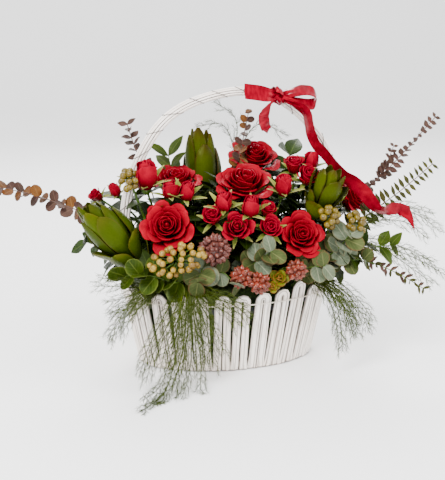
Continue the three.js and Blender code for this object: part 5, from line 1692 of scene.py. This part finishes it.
# Each strand has two more beside it: how far they spread, and their share of its length
SIDE_STRANDS = ((0, 1.0), (11, 0.94), (-10, 0.86))
for name, (root, strands, seed, length) in FERNS.items():
    random = seeded(seed)
    frond = Bunch()
    frond.add(tapered([root, *into_foam(root, 0.8)], 1.4, 1.4, 5, 8))
    for points in strands:
        main = Path([root, *points])
        for aside, share in SIDE_STRANDS[:1] if name in SPARSE else SIDE_STRANDS:
            sideways = aside * (0.6 + 0.9 * random())
            sway = 7 * (random() - 0.5)
            knots = []
            for way in (0, 0.25, 0.5, 0.75, 1):
                spot, tangent = main.at(way * share), main.tangent(way * share)
                spread = sideways * way**0.8 + sway * math.sin(5 * way)
                apart = unit(np.cross(tangent, TRUE_FRONT)) * spread
                sag = V(0, 0, -abs(sideways) * 0.35 * way)
                knots.append(spot + apart + sag)
            line = floored(knots)
            frond.add(tube(line, lambda v, a: lerp(STRAND_THICK, STRAND_THIN, v), 5, 24))
            needles_along(frond, line, 0.25, random, NEEDLE_LENGTH)
            count = int(line.length * (0.4 if name in SPARSE else 0.8) / BRANCH_STEP)
            for i in range(count):
                way = lerp(0.2, 0.97, (i + 0.5 * random()) / count)
                point, tangent = line.at(way), line.tangent(way)
                across = unit(np.cross(tangent, TRUE_FRONT))
                across = turned_about(across, tangent, 1.6 * (random() - 0.5)) * (1 if i % 2 else -1)
                ahead = unit(across * (0.35 + 0.4 * random()) + tangent)
                reach = length * (0.45 + 0.5 * random()) * lerp(0.9, 0.6, way) * min(3 * way, 1)
                bend = point + unit(ahead + 0.35 * across) * reach * 0.5
                end = point + ahead * reach - UP * reach * 0.16
                branch = floored([point, bend, end])
                frond.add(tube(branch, BRANCH_RADIUS, 3, 4))
                needles_along(frond, branch, 0.12, random, NEEDLE_LENGTH * 0.8)
    frond.piece(name + "_needles", [NEEDLE], "fern_green", name)

# %% [markdown]
# ## Moss
# The stems stand in a block of wet foam that is dressed with moss, so no foam is seen from above. A plain
# dome with a rough bump would show a smooth outline between the stems. So the dome is a roll with real
# lumps, and small tufts, the same cones as the fern's needles, are scattered over it.

# %% Foam dome
def foam_surface(u, v):
    """The foam follows the leaning wall up to the rim, and is domed and lumpy above it."""
    low, rim = 10.6, 88.0
    long_rim = lerp(BASE_HALF[0], RIM_HALF[0], rim / RIM_Z) - 16.6
    profile = Path([V(2, 0, low), V(lerp(BASE_HALF[0], RIM_HALF[0], low / RIM_Z) - 22.6, 0, low + 0.5),
                    V(long_rim, 0, rim - 2), V(long_rim * 0.92, 0, FOAM_TOP - 17),
                    V(long_rim * 0.72, 0, FOAM_TOP - 7), V(long_rim * 0.4, 0, FOAM_TOP - 1.5),
                    V(1, 0, FOAM_TOP)])
    edge = profile.at(v)
    long, z = edge[:, 0], edge[:, 2]
    short = lerp(BASE_HALF[1], RIM_HALF[1], z / RIM_Z) - 7
    ratio = short / (lerp(BASE_HALF[0], RIM_HALF[0], z / RIM_Z) - 14)
    turn = 2 * math.pi * u
    lumps = np.where(z > rim, 1.0, 0.0) * np.minimum(long / 20, 1)
    lumps = lumps * (np.sin(turn * 9 + z * 0.4) + np.sin(turn * 17 - z * 0.9) - 1) * 0.9
    return np.stack([long * np.cos(turn), long * ratio * np.sin(turn), z + lumps], axis=1)


MOSS_TUFTS, MOSS_LONG, MOSS_SHORT, MOSS_DROP = 1500, 112, 72, 26
moss = Bunch()
moss.add(rolled(foam_surface, 72, 40))
random = seeded(801)
for _ in range(MOSS_TUFTS):
    turn, out = 2 * math.pi * random(), math.sqrt(random()) * 0.93
    point = V(MOSS_LONG * out * math.cos(turn), MOSS_SHORT * out * math.sin(turn),
              FOAM_TOP - 2 - MOSS_DROP * out**3)
    ahead = unit(V(random() - 0.5, random() - 0.5, 0.9))
    origin, axes = standing(point, ahead, 6 * random())
    moss.add(NEEDLE_FORM, (origin, axes * V(2, 2, 4 + 4 * random())[:, None]), tint=random())
moss.piece("moss_dome", [MOSS], "foam", "floral_foam")

# %% [markdown]
# ## Inner twigs
# A florist fills the room between the flowers with short leafy twigs, so that no bare stem is seen from
# any side, and dark leaves stand under every rose and just inside the rim. These leaves are nearly black,
# which is partly painted shade between the flowers. Larger leaves would need fewer twigs, but would show
# between the flowers. So there are two kinds: small leaves all over the foam, and toothed rose leaves
# below the heads and at the rim. Both are one piece with few faces for each leaf.

# %% One inner twig
def inner_twig(bunch, line, thick, count, first, forms, spin, lean, face, small, random):
    """Leaves along a short stem; lean, face and small say how they lie and how large they are."""
    bunch.add(tube(line, thick, 5, 8), look=1)
    for k in range(count):
        way = lerp(first, 1.0, k / (count - 1))
        tangent = line.tangent(way)
        across = unit(np.cross(tangent, V(0, 1, 0.2)))
        across = turned_about(across, tangent, k * GOLDEN + spin())
        ahead = unit(across + tangent * (lean[0] + lean[1] * random()))
        normal = tangent + face[0] * UP - face[1] * across
        place = lying(line.at(way), ahead, normal, small + 0.4 * random())
        bunch.add(forms[k % len(forms)], place, tint=random())


fill = Bunch()
print("inner twigs start", FOAM_TOP - 16, "mm up")

# %% Small leaves all over the foam
FILL_TWIGS, FILL_LEAVES = 96, 13
fill_leaves = [leaf(27, 15, curl=c, fold=0.15, wave=w, across=2, along=4)
               for c, w in ((0.1, 0.6), (0.25, -0.8), (0.4, 0.5))]
random = seeded(802)
for i in range(FILL_TWIGS):
    turn = i * GOLDEN
    out = math.sqrt((i + 0.5) / FILL_TWIGS)
    start = V(92 * out * math.cos(turn), 58 * out * math.sin(turn), FOAM_TOP - 16)
    high = lerp(136, 30, out**1.5) + 16 * random()
    tip = start * V(1 + 0.26 * out, 1 + 0.3 * out, 1) + V(0, 0, high)
    line = Path([start, lerp(start, tip, 0.5) + V(0, 0, 5), tip])
    inner_twig(fill, line, 0.9, FILL_LEAVES, 0.2, fill_leaves, lambda: turn, (0.3, 0.8), (0.4, 0.4),
               0.75, random)
print(FILL_TWIGS, "twigs with small leaves")

# %% Rose leaves below the heads and at the rim
COLLAR_LEAVES, RIM_TWIGS, RIM_TWIG_Z = 9, 24, 142.0
UNDERGROWTH = [V(62, -30, 222), V(88, -48, 212), V(100, -22, 226), V(36, -10, 236), V(-84, -20, 214),
               V(-108, -14, 206), V(-46, -40, 206), V(124, -60, 196), V(70, 10, 246), V(-20, -10, 232),
               V(-96, -30, 188), V(-122, -12, 190), V(122, -88, 150), V(142, -88, 166), V(-118, -62, 150)]
RIM_PLACES = [0.02 + 0.48 * k / (RIM_TWIGS - 1) for k in range(RIM_TWIGS)] + [0.94, 0.98]
rose_leaves = [leaf(36, 23, curl=c, fold=0.18, wave=w, across=2, teeth=4)
               for c, w in ((0.15, 0.5), (0.3, -0.6))]
# Place of the tips, number of twigs and how far apart their tips are
shaded = [(at - 0.8 * radius * face, 3, 15) for at, face, radius in ROSES]
shaded += [(at - 2.4 * radius * face, 1, 5) for fork, heads in SPRAYS.values()
           for at, face, radius, share in heads]
shaded += [(at, 2, 14) for at in UNDERGROWTH]
shaded += [(wall_point(V(way), V(RIM_TWIG_Z), 7 * random() - 2)[0], 1, 10) for way in RIM_PLACES]
for at, twigs, apart in shaded:
    for _ in range(twigs):
        tip = at + apart * V(random() - 0.5, random() - 0.5, 0.5 * random() - 0.5)
        start = V(tip[0] * 0.66, tip[1] * 0.6, FOAM_TOP - 18)
        line = Path([start, lerp(start, tip, 0.5) + V(0, 0, 6), tip])
        inner_twig(fill, line, 1.0, COLLAR_LEAVES, 0.35, rose_leaves, lambda: 6 * random(), (0.2, 0.7),
                   (0.5, 0.3), 0.7, random)
fill.piece("inner_twigs", [FILL_SHADE_LEAF, STEM], "dark_leaf")

# %% [markdown]
# ## Room
# The basket stands in a photographer's sweep: a plain pale floor that bends up into a pale wall far behind
# it, with no line between the two. Two planes would show a corner, so one grid is bent round a quarter
# circle.

# %% Floor and wall
ROOM_HALF, ROOM_BACK, ROOM_BEND = 6.0, 2.4, 1.2
mesh = bmesh.new()
bmesh.ops.create_grid(mesh, x_segments=24, y_segments=96, size=ROOM_HALF)
for corner in mesh.verts:
    past = corner.co.y - ROOM_BACK
    if past > 0:
        angle = min(past / ROOM_BEND, math.pi / 2)
        straight = max(past - ROOM_BEND * math.pi / 2, 0)
        corner.co.y = ROOM_BACK + ROOM_BEND * math.sin(angle)
        corner.co.z = ROOM_BEND * (1 - math.cos(angle)) + straight
floor_mesh = bpy.data.meshes.new("studio_floor")
mesh.to_mesh(floor_mesh)
mesh.free()
floor_mesh.shade_smooth()
floor = bpy.data.objects.new("studio_floor", floor_mesh)
bpy.context.scene.collection.objects.link(floor)
paper = Look("pale_floor", Roughness=0.8, Specular_IOR_Level=0.2)
paper.set("Base Color", paper.mix(paper.noise(paper.space, 3.0), (0.9, 0.9, 0.9), (0.93, 0.93, 0.93)))
floor_mesh.materials.append(paper.material)
print("the sweep has", len(floor_mesh.polygons), "faces")

# %% [markdown]
# ## Light
# The photograph's light is soft and comes from all round, so shadows are faint. One strong lamp would
# throw hard shadows, so a bright even sky does most of the work, and three large round lamps add a little
# shape and shine.

# %% Sky and lamps
SKY_STRENGTH = 1.9
world = bpy.data.worlds.new("soft_sky")
world.use_nodes = True
world.node_tree.nodes["Background"].inputs[0].default_value = (1.0, 1.0, 1.0, 1)
world.node_tree.nodes["Background"].inputs[1].default_value = SKY_STRENGTH
bpy.context.scene.world = world


def area_light(name, place, target, size, power):
    """A large soft light that looks at a point; sizes and places in metres."""
    light = bpy.data.lights.new(name, "AREA")
    light.shape = "DISK"
    light.size = size
    light.energy = power
    lamp = bpy.data.objects.new(name, light)
    lamp.location = place
    aim = np.array(target) - np.array(place)
    yaw = math.atan2(aim[1], aim[0]) - math.pi / 2
    pitch = math.atan2(aim[2], math.hypot(aim[0], aim[1])) + math.pi / 2
    lamp.rotation_euler = (pitch, 0, yaw)
    bpy.context.scene.collection.objects.link(lamp)


AIM = (0, 0, 0.18)
area_light("key_light", (-1.1, -1.3, 1.7), AIM, 1.1, 110)
area_light("fill_light", (1.5, -1.0, 1.0), AIM, 1.4, 32)
area_light("back_light", (0.3, 1.5, 1.5), AIM, 1.2, 42)
print(len(bpy.data.lights), "lamps")

# %% [markdown]
# ## Camera
# The photograph was taken from a little to the left and a little above, from some way off. The lens and
# the distance could be guessed by eye, but they are worked out so that the handle, the foot of the basket
# and the tips of the sprigs fall where they do in the photograph.

# %% Camera
SEEN_POINT = V(4.93, 37.32, 152.65)
CAMERA_AHEAD = V(0.25219, 0.94117, -0.22495)
CAMERA_AWAY, CAMERA_LENS = 1400, 75
camera = bpy.data.cameras.new("camera")
camera.lens = CAMERA_LENS
camera.sensor_width = 36
camera.sensor_fit = "AUTO"
camera.dof.use_dof = False
viewer = bpy.data.objects.new("camera", camera)
viewer.location = (SEEN_POINT - CAMERA_AWAY * CAMERA_AHEAD) * MM
yaw = math.atan2(CAMERA_AHEAD[1], CAMERA_AHEAD[0]) - math.pi / 2
pitch = math.asin(CAMERA_AHEAD[2]) + math.pi / 2
viewer.rotation_euler = (pitch, 0, yaw)
bpy.context.scene.collection.objects.link(viewer)
bpy.context.scene.camera = viewer
print("camera", round(CAMERA_AWAY * MM, 2), "m away")
